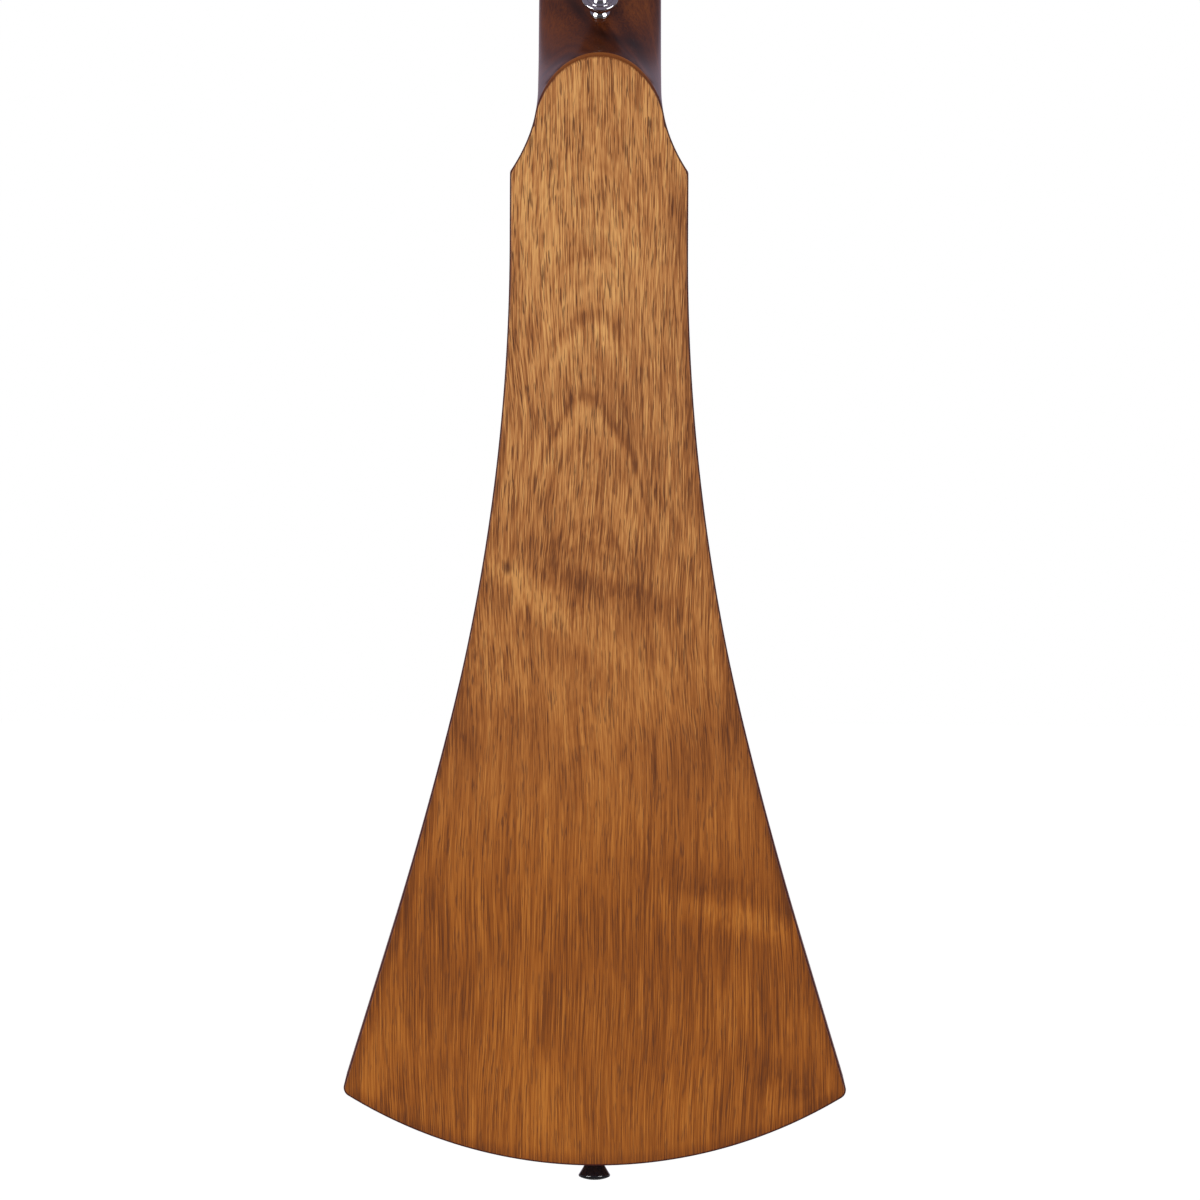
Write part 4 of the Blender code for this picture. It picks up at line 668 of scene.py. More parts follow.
def plain(name, colour, roughness, mottling=0.08, size=2.0, metallic=0.0, coat=0.0, bump=0.0, ior=1.5):
    """A made material: one colour, broken up by a fine mottle in tone and in gloss."""
    g = Surface(name)
    mottle = g.grain(g.here, (size, size, size), 3.0, 0.6)
    dark = tuple(value * (1 - mottling) for value in colour)
    pale = tuple(min(value * (1 + mottling), 1.0) for value in colour)
    values = {
        "Base Color": g.mix(mottle, dark, pale),
        "Roughness": g.span(mottle, 0.3, 0.7, roughness * 0.8, roughness * 1.2),
        "Metallic": metallic,
        "Coat Weight": coat,
        "Coat Roughness": 0.05,
        "IOR": ior,
    }
    if bump:
        values["Normal"] = g.bump(mottle, bump, 0.6)
    return g.finish(values)


def wound(number, pitch):
    """Wire wound round a string: fine ridges along its length."""
    g = Surface(f"wound_{number}")
    values = {"Vector": g.here, "Scale": 1 / pitch / 2, "Distortion": 0.0}
    ridge = g.add("TexWave", values, bands_direction="Z").outputs["Fac"]
    # The grooves between the windings are painted at half the colour: painted shade, beside the bump's
    # relief.
    colour = g.mix(ridge, tuple(value / 2 for value in BRONZE), BRONZE)
    normal = g.bump(ridge, 0.08, 0.8)
    return g.finish({"Base Color": colour, "Normal": normal, "Roughness": 0.3, "Metallic": 1.0})


def pearl(name):
    g = Surface(name)
    cloud = g.grain(g.here, (2.2, 2.2, 3.4), 3.0, 0.6, distortion=1.2)
    colour = g.tones(cloud, PEARL_TONES)
    return g.finish({"Base Color": colour, "Roughness": 0.2, "Coat Weight": 0.6, "Coat Roughness": 0.04})


# Tones of the back's upper and lower parts; the lower ones are darker partly by painted shade.
UPPER_BACK = ((0.12, 126, 72, 32), (0.38, 171, 107, 55), (0.58, 197, 133, 74), (0.88, 224, 165, 98))
LOWER_BACK = ((0.12, 106, 52, 8), (0.38, 141, 74, 11), (0.58, 162, 89, 20), (0.88, 190, 115, 38))
NECK_TONES = ((0.30, 40, 18, 12), (0.46, 72, 31, 14), (0.58, 100, 47, 15), (0.75, 122, 62, 18))
SIDE_TONES = ((0.28, 74, 38, 22), (0.48, 112, 62, 34), (0.66, 140, 84, 48), (0.8, 160, 100, 60))
TOP_TONES = ((0.30, 170, 118, 66), (0.45, 205, 156, 98), (0.60, 222, 178, 120), (0.75, 232, 192, 136))
INNER_TONES = ((0.3, 176, 136, 92), (0.5, 206, 170, 122), (0.75, 222, 190, 146))
BLACK_TONES = ((0.3, 26, 20, 18), (0.5, 40, 31, 27), (0.75, 60, 46, 39))
BRIDGE_TONES = ((0.3, 26, 20, 18), (0.5, 42, 32, 28), (0.75, 62, 47, 40))
PEARL_TONES = ((0.25, 176, 186, 178), (0.45, 226, 222, 206), (0.6, 240, 228, 214), (0.8, 206, 214, 212))
BRONZE = (0.80, 0.52, 0.30)
DARK_PORES = (0.6, 14, 11, 10)

BACK_WOOD = back_wood()
NECK_WOOD = grained(
    "neck_wood",
    NECK_TONES,
    (7.0, (26, 58, 0)),
    (0.6, 9.0),
    0.30,
    pores=(0.45, 30, 14, 10),
    coat=0.35,
    tilt=(9, 7, 0),
    marks=NECK_GLEAMS,
)
SIDE_WOOD = grained(
    "side_wood",
    SIDE_TONES,
    (3.2, (0, 420, 0)),
    (0.7, 12.0),
    0.40,
    pores=(0.5, 50, 26, 16),
    coat=0.06,
    specular=0.2,
)
TOP_WOOD = grained("top_wood", TOP_TONES, (1.1, (900, 40, 0)), (0.5, 30.0), 0.34, coat=0.3, depth=0.02)
INNER_WOOD = grained("inner_wood", INNER_TONES, (1.4, (300, 300, 0)), (0.6, 20.0), 0.7)
BLACK_WOOD = grained("black_wood", BLACK_TONES, (2.4, (60, 200, 0)), (0.45, 7.0), 0.42, DARK_PORES)
BRIDGE_WOOD = grained(
    "bridge_wood", BRIDGE_TONES, (2.4, (60, 200, 0)), (0.45, 7.0), 0.40, DARK_PORES, along=0
)
BONE = plain("bone", srgb(232, 222, 196), 0.32, 0.05, 1.2, bump=0.01)
BLACK_GLOSS = plain("black_plastic", (0.010, 0.009, 0.013), 0.12, 0.2, 3.0, coat=1.0, ior=1.8)
CHROME = plain("chrome", (0.86, 0.87, 0.89), 0.06, 0.02, 1.5, metallic=1.0)
# Dark chrome for the strap button's cup under its flange: painted shade, where the flange keeps the light
# off.
PAINTED_SHADE_CHROME = plain("painted_shade_chrome", (0.12, 0.12, 0.14), 0.1, 0.02, 1.5, metallic=1.0)
NICKEL = plain("fret_metal", (0.72, 0.71, 0.68), 0.2, 0.05, 0.8, metallic=1.0)
GEAR_METAL = plain("gear_metal", (0.62, 0.56, 0.45), 0.24, 0.10, 0.9, metallic=1.0)
PLATE_METAL = plain("plate_metal", (0.72, 0.72, 0.73), 0.36, 0.05, 1.2, metallic=1.0)
STEEL = plain("steel", (0.62, 0.62, 0.64), 0.25, 0.06, 0.8, metallic=1.0)
PEARL = pearl("pearl")
WINDINGS = [wound(3, 0.16), wound(4, 0.24), wound(5, 0.34), wound(6, 0.42)]
STRING_METALS = [STEEL, STEEL, *WINDINGS]


# Solids, each as its points and faces
def smooth_blend(share):
    share = min(max(share, 0.0), 1.0)
    return share * share * (3 - 2 * share)


def mirrored(points):
    """The points from last to first, on the other side of the middle."""
    return [(-x, *rest) for x, *rest in reversed(points)]


def stand(place, direction):
    """A frame at a place, with its Z axis along a direction."""
    turn = Vector(direction).to_track_quat("Z", "Y").to_matrix().to_4x4()
    return Matrix.Translation(place) @ turn


FRONT, BACK, DOWN, ASIDE = (0, 1, 0), (0, -1, 0), (0, 0, -1), (1, 0, 0)
UPRIGHT = stand((0, 0, 0), FRONT)
END_PIN_PLACE = stand((0, -BODY_DEPTH / 2, TAIL), DOWN)


def skin(rings):
    """Rows of points joined into one solid and capped at both ends."""
    count = len(rings[0])
    last = count * (len(rings) - 1)
    faces = [range(count - 1, -1, -1), range(last, last + count)]
    for first in range(0, last, count):
        for i in range(count):
            j = (i + 1) % count
            faces.append((first + i, first + j, first + count + j, first + count + i))
    return [point for ring in rings for point in ring], faces


def prism(points, low, high):
    """An (x, z) outline drawn out along Y, from low to high."""
    return skin([[(x, y, z) for x, z in points] for y in (low, high)])


def box(low, high):
    corners = [(low[0], low[2]), (high[0], low[2]), (high[0], high[2]), (low[0], high[2])]
    return prism(corners, low[1], high[1])


def turned(profile, place, steps, closed=False):
    """A (radius, height) profile turned about the place's Z axis."""
    points, columns, faces = [], [], []
    for step in range(steps):
        angle = 2 * math.pi * step / steps
        column = []
        for i, (radius, height) in enumerate(profile):
            if step and not radius:
                column.append(columns[0][i])
                continue
            column.append(len(points))
            points.append(place @ Vector((radius * math.cos(angle), radius * math.sin(angle), height)))
        columns.append(column)
    for this, after in zip(columns, columns[1:] + columns[:1]):
        for i in range(len(profile) if closed else len(profile) - 1):
            j = (i + 1) % len(profile)
            corners = list(dict.fromkeys((this[i], this[j], after[j], after[i])))
            if len(corners) > 2:
                faces.append(corners)
    return points, faces


def cylinder(radius, low, high, place, steps):
    return turned([(0, high), (radius, high), (radius, low), (0, low)], place, steps)


def dome(radius, height, steps, level=0.0):
    """The profile of a screw's head, from the middle of its top."""
    angles = spread(0, math.pi / 2, steps)
    return [(radius * math.sin(angle), level + height * math.cos(angle)) for angle in angles]


def tube(points, radii, sides):
    """A capped tube along points, each ring square to the way there."""
    points = [Vector(point) for point in points]
    side = None
    rings = []
    for i, (point, radius) in enumerate(zip(points, radii)):
        along = (points[min(i + 1, len(points) - 1)] - points[max(i - 1, 0)]).normalized()
        side = side or along.orthogonal().normalized()
        side = (side - along * side.dot(along)).normalized()
        up = along.cross(side)
        rings.append([point + side * x + up * y for x, y in arc(0, 0, radius, 0, 2 * math.pi, sides)[:-1]])
    return skin(rings)


def cross(place, width, length, depth):
    """A cross-headed driver's recess."""
    near, far = width / 2, length / 2
    corner = [(far, near), (near, near), (near, far)]
    outline = []
    for _ in range(4):
        outline += corner
        corner = [(-y, x) for x, y in corner]
    return skin([[place @ Vector((x, y, z)) for x, y in outline] for z in (-depth, MM)])


# Objects
@contextmanager
def edited(mesh):
    """Open a mesh for a change."""
    bm = bmesh.new()
    bm.from_mesh(mesh)
    yield bm
    bm.to_mesh(mesh)
    bm.free()


def link(name, mesh):
    obj = bpy.data.objects.new(name, mesh)
    scene.collection.objects.link(obj)
    return obj


def build(name, surface, *solids, weld=1e-7):
    """One object of one or more solids."""
    mesh = bpy.data.meshes.new(name)
    with edited(mesh) as bm:
        for points, faces in solids:
            verts = [bm.verts.new(point) for point in points]
            for face in faces:
                bm.faces.new([verts[i] for i in face])
        bmesh.ops.remove_doubles(bm, verts=bm.verts, dist=weld)
        bmesh.ops.recalc_face_normals(bm, faces=bm.faces)
    if surface:
        mesh.materials.append(surface)
    return link(name, mesh)


def boolean(obj, tool, operation):
    """Apply a join or a cut at once, and remove the tool."""
    change = obj.modifiers.new("change", "BOOLEAN")
    change.object = tool
    change.operation = operation
    change.solver = "EXACT"
    bpy.context.view_layer.update()
    graph = bpy.context.evaluated_depsgraph_get()
    mesh = bpy.data.meshes.new_from_object(obj.evaluated_get(graph))
    obj.modifiers.clear()
    old = obj.data
    obj.data = mesh
    bpy.data.meshes.remove(old)
    bpy.data.objects.remove(tool)


def cut(obj, *solids):
    boolean(obj, build("cutter", None, *solids), "DIFFERENCE")


def soften(obj, width, segments=3, angle=35):
    change = obj.modifiers.new("rounded_edges", "BEVEL")
    change.width = width
    change.segments = segments
    change.limit_method = "ANGLE"
    change.angle_limit = math.radians(angle)
    return obj


def dress(obj, body="guitar", nodes=(), sharp=35, weighted=True):
    """Shade a piece smoothly and seat it on its body in place of CAD nodes."""
    obj.data.shade_smooth()
    obj.data.set_sharp_from_angle(angle=math.radians(sharp))
    if weighted:
        even = obj.modifiers.new("even_normals", "WEIGHTED_NORMAL")
        even.keep_sharp = True
    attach(obj, body)
    if nodes:
        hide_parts(*nodes)


def piece(name, surface, *solids, **facts):
    dress(build(name, surface, *solids), **facts)


def eased(node, surface, width):
    """A CAD node's own shape with its edges eased."""
    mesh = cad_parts[node].data.copy()
    mesh.materials.clear()
    mesh.materials.append(surface)
    with edited(mesh) as bm:
        bmesh.ops.remove_doubles(bm, verts=bm.verts, dist=1e-6)
        bmesh.ops.dissolve_limit(bm, angle_limit=math.radians(1), verts=bm.verts, edges=bm.edges)
    dress(soften(link(node + "_eased", mesh), width), nodes=[node])


# Body outline, from the side points to the ribs
def side_point(down, inset):
    half, slope = body_half(down)
    length = math.hypot(1, slope)
    return half - inset / length, SHOULDER - down - inset * slope / length


def corner_centre(inset):
    low, high = FLARE_END, BODY_LENGTH
    for _ in range(60):
        middle = (low + high) / 2
        x, z = side_point(middle, inset)
        if math.hypot(x, z - TAIL_CENTRE) < TAIL_RADIUS - inset or z > TAIL_CENTRE:
            low = middle
        else:
            high = middle
    return side_point(low, inset)


def half_outline(inset=0.0, start=0.0):
    """The right-hand outline from near the shoulder, and how many points run to the corner's end."""
    first = max(start, STRAIGHT_LENGTH)
    points = [side_point(start, inset)]
    points += [side_point(down, inset) for down in spread(first, FLARE_END, 44) if down > start]
    radius = max(CORNER_RADIUS - inset, GAP)
    x, z = corner_centre(inset + radius)
    tail = math.atan2(z - TAIL_CENTRE, x)
    points += arc(x, z, radius, math.atan(FLARE_SLOPE), tail, 10)
    sides = len(points)
    points += arc(0, TAIL_CENTRE, TAIL_RADIUS - inset, tail, -math.pi / 2, 36)[1:]
    points[-1] = (0.0, points[-1][1])
    return points, sides


def board_half(z):
    """Half the width of the fingerboard, and of the neck above its flare."""
    return (NUT_WIDTH + (NECK_WIDTH_AT_BODY - NUT_WIDTH) * z / SHOULDER) / 2


def neck_half(z):
    flare = max(SHOULDER + NECK_FLARE_LENGTH - z, 0) / NECK_FLARE_LENGTH
    return board_half(z) + (UPPER_WIDTH - NECK_WIDTH_AT_BODY) / 2 * flare**2


def tongue_half(z):
    share = max(1 - (TONGUE_TOP - z) / TONGUE_OVAL_LENGTH, 0)
    return min(TONGUE_HALF_WIDTH * math.sqrt(max(1 - share**2, 0)), neck_half(z))


def tongue_downs(steps):
    """Distances below the tongue's top, close together where its end is round."""
    angles = spread(0, TONGUE_SWEEP, steps)
    return [TONGUE_OVAL_LENGTH * (1 - math.cos(angle)) for angle in angles]


def tongue_points():
    downs = tongue_downs(35)
    points = [(tongue_half(TONGUE_TOP - down), TONGUE_TOP - down) for down in downs]
    downs = spread(downs[-1], TONGUE_LENGTH - SHOULDER_ROUND, 20)[1:]
    points += [(neck_half(TONGUE_TOP - down), TONGUE_TOP - down) for down in downs]
    start = Vector(points[-1])
    corner = Vector((UPPER_WIDTH / 2, SHOULDER))
    end = Vector((UPPER_WIDTH / 2, SHOULDER - SHOULDER_ROUND))
    for share in spread(0, 1, 5)[1:-1]:
        bend = start * (1 - share) ** 2 + corner * 2 * share * (1 - share) + end * share**2
        points.append(tuple(bend))
    return points


def rounded_plate(right, inner, outer, edge_at):
    """A plate with its outer rim rounded. The outline starts and ends on the centreline."""
    loop = right + mirrored(right[1:-1])
    facing = math.copysign(1.0, outer - inner)
    rings = [[(x, inner, z) for x, z in loop]]
    for angle in spread(0, math.pi / 2, 6):
        ring = []
        for before, (x, z), after in zip(loop[-1:] + loop, loop, loop[1:] + loop[:1]):
            along = Vector(after) - Vector(before)
            inward = Vector((along.y, -along.x)).normalized()
            edge = edge_at(z)
            place = Vector((x, z)) + inward * edge * (1 - math.cos(angle))
            ring.append((place.x, outer - facing * edge * (1 - math.sin(angle)), place.y))
        rings.append(ring)
    return skin(rings)


def make_back_plate():
    def edge_at(z):
        fade = max(1 - (TONGUE_TOP - z) / TONGUE_EDGE_FADE, 0)
        return BACK_EDGE_ROUND + (TONGUE_EDGE_ROUND - BACK_EDGE_ROUND) * fade

    right = tongue_points() + half_outline(start=SHOULDER_ROUND)[0]
    plate = rounded_plate(right, BACK_INNER, -BODY_DEPTH, edge_at)
    piece("back", BACK_WOOD, plate, nodes=["back_plate"])


def make_soundboard():
    right = [(0.0, SHOULDER - GAP)] + half_outline(start=GAP)[0]
    top = build("top", TOP_WOOD, rounded_plate(right, -TOP_THICKNESS, 0.0, lambda z: TOP_EDGE_ROUND))
    radius, lip = SOUNDHOLE_RADIUS, SOUNDHOLE_LIP
    beyond = 3 * MM
    profile = [
        (0, beyond),
        (radius + 3 * lip, beyond),
        (radius + 3 * lip, 0.02 * MM),
        (radius + lip, -0.1 * MM),
        (radius + lip * 0.3, -0.3 * MM),
        (radius, -lip * 1.4),
        (radius, -TOP_THICKNESS - beyond),
        (0, -TOP_THICKNESS - beyond),
    ]
    place = stand(HOLE_CENTRE, FRONT)
    pin_holes = [prism(keyhole(number), -TOP_THICKNESS - MM, MM) for number in NUMBERS]
    cut(top, turned(profile, place, 96), *pin_holes)
    dress(top, nodes=["soundboard"])
    high, low = INLAY_PROUD, -0.5 * MM
    rings = []
    for inner, outer in ROSETTE_RINGS:
        rings.append(turned([(inner, high), (outer, high), (outer, low), (inner, low)], place, 96, True))
    piece("rosette", BLACK_WOOD, *rings)


def make_ribs():
    outer, sides = half_outline(start=GAP)
    inner = half_outline(RIB_THICKNESS, start=GAP)[0]
    run = outer[:sides] + inner[:sides][::-1]
    for side, name in ((1, "right_rib"), (-1, "left_rib")):
        rib = prism([(side * x, z) for x, z in run], RIB_BACK, RIB_FRONT)
        piece(f"{name}_wood", SIDE_WOOD, rib, nodes=[name])
    x, z = outer[sides - 1]
    reach = math.atan2(x, TAIL_CENTRE - z) - 2 * GAP / TAIL_RADIUS
    first, last = reach - math.pi / 2, -reach - math.pi / 2
    run = arc(0, TAIL_CENTRE, TAIL_RADIUS, first, last, 80)
    run += arc(0, TAIL_CENTRE, TAIL_RADIUS - RIB_THICKNESS, last, first, 80)
    tail = build("tail_rib_wood", SIDE_WOOD, prism(run, RIB_BACK, RIB_FRONT))
    cut(tail, cylinder(END_PIN_NECK_RADIUS + GAP, -4 * MM, MM, END_PIN_PLACE, 32))
    dress(tail, nodes=["tail_rib"])


# Neck
def scoop(z):
    """The neck's depth at its middle, and the slope at which it deepens towards the tail."""
    top = TONGUE_TOP + HEEL_SCOOP_LENGTH
    if z >= top:
        return NECK_DEPTH_NUT + (NECK_DEPTH_HEEL - NECK_DEPTH_NUT) * z / top, 0.0
    if z <= TONGUE_TOP:
        return HEEL_DEPTH, 0.0
    share = HEEL_SCOOP_SWEEP * (top - z) / HEEL_SCOOP_LENGTH
    level = math.sqrt(1 - share**2)
    rise = (HEEL_DEPTH - NECK_DEPTH_HEEL) / (1 - math.sqrt(1 - HEEL_SCOOP_SWEEP**2))
    steepness = rise * HEEL_SCOOP_SWEEP / HEEL_SCOOP_LENGTH
    return NECK_DEPTH_HEEL + rise * (1 - level), steepness * share / level


def tongue_drop(x):
    """How far the tongue's rounded end falls from its top, before it meets the neck's sides."""
    share = min(x, NECK_WIDTH_AT_BODY / 2) / TONGUE_HALF_WIDTH
    return TONGUE_OVAL_LENGTH * (1 - math.sqrt(1 - min(share, 1) ** 2))


def neck_section(z):
    """An ellipse along the neck, squarer towards the heel, where it meets the tongue's end."""
    half = neck_half(z)
    down = TONGUE_TOP - z
    near_head = smooth_blend(-z / HEAD_BLEND_LENGTH)
    near_heel = smooth_blend(1 + down / HEEL_SCOOP_LENGTH)
    flat_half = tongue_half(min(z, TONGUE_TOP)) * smooth_blend(down / HEEL_SETTLE)
    across = HEAD_EDGE + (max(half - flat_half, HEEL_EDGE) - HEAD_EDGE) * near_head
    fade = 1 - smooth_blend(down / HEEL_ROUND_FADE)
    power = ELLIPSE_POWER / (ELLIPSE_POWER + (HEEL_POWER - ELLIPSE_POWER) * near_heel)
    right = [(half, 0.0, z)]
    for angle in spread(0, math.pi / 2, 22):
        x = half - across + across * max(math.cos(angle), 0) ** power
        depth, _ = scoop(z + tongue_drop(x))
        deep = HEEL_EDGE + (depth - NECK_SIDE_FLAT - HEEL_EDGE) * fade
        deep = HEAD_EDGE + (deep - HEAD_EDGE) * near_head
        right.append((x, -(depth - deep) - deep * math.sin(angle) ** power, z))
    return right + mirrored(right)


def neck_stations():
    top = TONGUE_TOP + HEEL_SCOOP_LENGTH
    stations = [NUT_THICKNESS] + spread(0, -HEAD_BLEND_LENGTH, 20)
    stations += spread(-HEAD_BLEND_LENGTH, top, 16)[1:]
    for angle in spread(0, math.asin(HEEL_SCOOP_SWEEP), 30)[1:]:
        stations.append(top - HEEL_SCOOP_LENGTH * math.sin(angle) / HEEL_SCOOP_SWEEP)
    stations += [TONGUE_TOP - down for down in tongue_downs(30)[1:]]
    return stations + spread(stations[-1], SHOULDER, 12)[1:]


def headstock_outline():
    root = NUT_WIDTH / 2
    right = [(root - HEAD_ROOT_INSET, -HEAD_ROOT_OVERLAP)]
    for share in spread(0, 1, 16):
        half = root + (HEAD_SHOULDER_HALF - root) * smooth_blend(share)
        right.append((half, HEAD_SHOULDER_HEIGHT * share))
    reach = HEAD_TOP_HALF - HEAD_CORNER_ROUND
    right += arc(reach, HEAD_LENGTH - HEAD_CORNER_ROUND, HEAD_CORNER_ROUND, 0, math.pi / 2, 8)
    for share in spread(1, 0, 18)[1:]:
        right.append((reach * share, HEAD_LENGTH + HEAD_TOP_RISE * (1 - share**2)))
    return right + mirrored(right[:-1])


def post(number):
    """The side that a string's tuner post stands on, 1 or -1, and its frame on the headstock."""
    side = 1 if number > 3 else -1
    z = POST_ROWS[6 - number if side > 0 else number - 1]
    return side, HEAD @ Matrix.Translation((side * POST_SIDE, 0, z))


def make_neck():
    neck = build("neck_wood_shape", NECK_WOOD, skin([neck_section(z) for z in neck_stations()]))
    slab = build("headstock_slab", None, prism(headstock_outline(), -HEAD_THICKNESS, 0))
    slab.data.transform(HEAD)
    boolean(neck, soften(slab, HEAD_BEVEL, 3, 50), "UNION")
    high = (NUT_WIDTH, HEAD_ROOT_OVERLAP, NUT_THICKNESS + GAP)
    cut(neck, box((-NUT_WIDTH, 0, -2 * HEAD_ROOT_OVERLAP), high))
    holes = []
    for number in NUMBERS:
        place = post(number)[1] @ UPRIGHT
        holes.append(cylinder(BUSHING_RADIUS + GAP, -HEAD_THICKNESS - MM, MM, place, 28))
    cut(neck, *holes)
    # The headstock's face meets the neck's end in one line, where the join leaves a slit.
    with edited(neck.data) as bm:
        bmesh.ops.holes_fill(bm, edges=[edge for edge in bm.edges if edge.is_boundary])
    dress(neck, nodes=["neck"], sharp=32)


def fret_rings(fret):
    """Sections across the fingerboard: low at both ends, full between."""
    z = fret_z(fret)
    half = board_half(z)
    crown = [(math.cos(a) * FRET_FOOT / 2, math.sin(a) * FRET_HEIGHT) for a in spread(math.pi, 0, 8)]
    foot = BOARD_THICKNESS - FRET_SINK
    full = half - FRET_END_SLOPE
    rings = []
    for x, size in ((half, FRET_END_SHARE), (full, 1.0), (-full, 1.0), (-half, FRET_END_SHARE)):
        ring = [(x, foot, z + FRET_FOOT / 2), (x, foot, z - FRET_FOOT / 2)]
        rings.append(ring + [(x, BOARD_THICKNESS + high * size, z + along) for along, high in crown])
    return rings


def make_fingerboard():
    rings = []
    for z in (-GAP, BOARD_END):
        half = board_half(z)
        edge = arc(half - BOARD_EDGE, BOARD_THICKNESS - BOARD_EDGE, BOARD_EDGE, 0, math.pi / 2, 4)
        ring = [(half, GAP, z)] + [(x, y, z) for x, y in edge]
        rings.append(ring + mirrored(ring))
    piece("board", BLACK_WOOD, skin(rings), nodes=["fingerboard"])
    frets = [skin(fret_rings(fret)) for fret in range(1, FRET_COUNT + 1)]
    piece("frets", NICKEL, *frets, sharp=50)
    dots = []
    aside = STRING_SPREAD_NUT / 5
    for fret in DOT_FRETS:
        z = (fret_z(fret - 1) + fret_z(fret)) / 2
        for x in (-aside, aside) if fret == OCTAVE_FRET else (0,):
            place = stand((x, BOARD_THICKNESS, z), FRONT)
            dots.append(cylinder(DOT_RADIUS, -MM, INLAY_PROUD, place, 40))
            # Small dots on the edge that the player sees, on the lowest string's side.
            place = stand((board_half(z) - SIDE_DOT_DEPTH, BOARD_THICKNESS / 2, z + x / 3), ASIDE)
            dots.append(cylinder(SIDE_DOT_RADIUS, 0, SIDE_DOT_DEPTH + INLAY_PROUD / 2, place, 24))
    piece("position_dots", PEARL, *dots)


# Bridge and strings
def string_x(number, width):
    return width * (number - 3.5) / 5


def keyhole(number):
    """A pin's hole, with a slot for its string on the side towards the saddle."""
    x = string_x(number, STRING_SPREAD_SADDLE)
    radius = PIN_RADIUS + GAP
    edge = math.asin(STRING_SLOT_HALF / radius)
    top = PIN_Z + STRING_SLOT_REACH
    hole = arc(x, PIN_Z, radius, math.pi / 2 - edge, edge - math.pi * 3 / 2, 24)
    return hole + [(x - STRING_SLOT_HALF, top), (x + STRING_SLOT_HALF, top)]


def bridge_height(x):
    """Flat in the middle, a concave ramp, then a thin wing."""
    share = min(max((abs(x) - BRIDGE_CENTRE_HALF) / BRIDGE_RAMP, 0.0), 1.0)
    return BRIDGE_WING_HEIGHT + (BRIDGE_HEIGHT - BRIDGE_WING_HEIGHT) * (1 - share) ** 2.2


def bridge_section(x):
    level = bridge_height(x) - BRIDGE_EDGE
    near_end = min(max(1 - (BRIDGE_HALF_WIDTH - abs(x)) / (BRIDGE_EDGE * 4), 0), 1)
    pull = BRIDGE_EDGE * 2 * (1 - math.sqrt(1 - near_end**2))
    low, high = BRIDGE_FRONT - BRIDGE_LENGTH + pull, BRIDGE_FRONT - pull
    rim = arc(low + BRIDGE_EDGE, level, BRIDGE_EDGE, math.pi, math.pi / 2, 5)
    rim += arc(high - BRIDGE_EDGE, level, BRIDGE_EDGE, math.pi / 2, 0, 5)
    return [(x, GAP, high), (x, GAP, low)] + [(x, y, z) for z, y in rim]


def make_bridge():
    rings = [bridge_section(x) for x in spread(-BRIDGE_HALF_WIDTH, BRIDGE_HALF_WIDTH, 96)]
    bridge = build("bridge_body", BRIDGE_WOOD, skin(rings))
    cut(bridge, *[prism(keyhole(number), -MM, BRIDGE_HEIGHT + MM) for number in NUMBERS])
    half = SADDLE_HALF_LENGTH + GAP / 3
    thick = SADDLE_THICKNESS / 2 + GAP / 3
    low = (-half, BRIDGE_HEIGHT - SADDLE_SLOT_DEPTH, SADDLE_Z - thick)
    cut(bridge, box(low, (half, BRIDGE_HEIGHT + MM, SADDLE_Z + thick)))
    dress(bridge, nodes=["bridge"], sharp=30)
    eased("saddle", BONE, 0.35 * MM)
    eased("nut", BONE, 0.3 * MM)


def make_pins():
    head, top = PIN_HEAD_RADIUS, PIN_HEAD_HEIGHT
    cup = top - 0.15 * MM
    profile = [(0, cup), (PIN_DOT_RADIUS + 0.1 * MM, cup), (PIN_DOT_RADIUS + 0.2 * MM, top)]
    for angle in spread(math.pi / 2, 0, 8)[2:]:
        profile.append((head * math.cos(angle), top * (0.3 + 0.7 * math.sin(angle))))
    profile += [
        (head * 0.97, top * 0.12),
        (head * 0.85, 0),
        (PIN_RADIUS, 0),
        (PIN_TIP_RADIUS, -BRIDGE_HEIGHT - PIN_REACH),
        (0, -BRIDGE_HEIGHT - PIN_REACH - 0.8 * MM),
    ]
    high = top - 0.04 * MM
    for number in NUMBERS:
        body = f"pin_{number}"
        x = string_x(number, STRING_SPREAD_SADDLE)
        place = stand((x, BRIDGE_HEIGHT + GAP, PIN_Z), FRONT)
        shaft = turned(profile, place, 32)
        piece(f"{body}_turned", BLACK_GLOSS, shaft, body=body, nodes=[f"bridge_pin_{number}"])
        piece(f"{body}_dot", PEARL, cylinder(PIN_DOT_RADIUS, high - MM, high, place, 24), body=body)


def string_route(number, radius):
    """Points from the ball end, through the bridge and over saddle and nut, round the post."""
    x = string_x(number, STRING_SPREAD_SADDLE)
    z = PIN_Z + PIN_STRING_OFFSET
    under = RIB_FRONT - BRIDGE_PLATE_THICKNESS - GAP
    over = SADDLE_TOP + radius + GAP
    nut_x = string_x(number, STRING_SPREAD_NUT)
    level = NUT_SLOT_FLOOR + radius + GAP
    route = [
        (x, under - BALL_LENGTH, z),
        (x, under - 0.1 * MM, z),
        (x, under, z),
        (x, BRIDGE_HEIGHT - STRING_BEND, z),
        (x, BRIDGE_HEIGHT - GAP, z + STRING_BEND / 5),
        (x, BRIDGE_HEIGHT + radius + GAP, z + STRING_BEND),
        (x, over, SADDLE_Z - SADDLE_THICKNESS / 4),
        (x, over, SADDLE_Z + SADDLE_THICKNESS / 4),
        (nut_x, level, GAP),
        (nut_x, level, NUT_THICKNESS),
    ]
    side, place = post(number)
    reach = POST_WAIST_RADIUS + GAP + radius
    first = math.pi - STRING_LEAVE
    for x, z in arc(0, 0, reach, first, first - STRING_WRAP, 36):
        route.append(place @ Vector((side * x, STRING_LEVEL, z)))
    return route


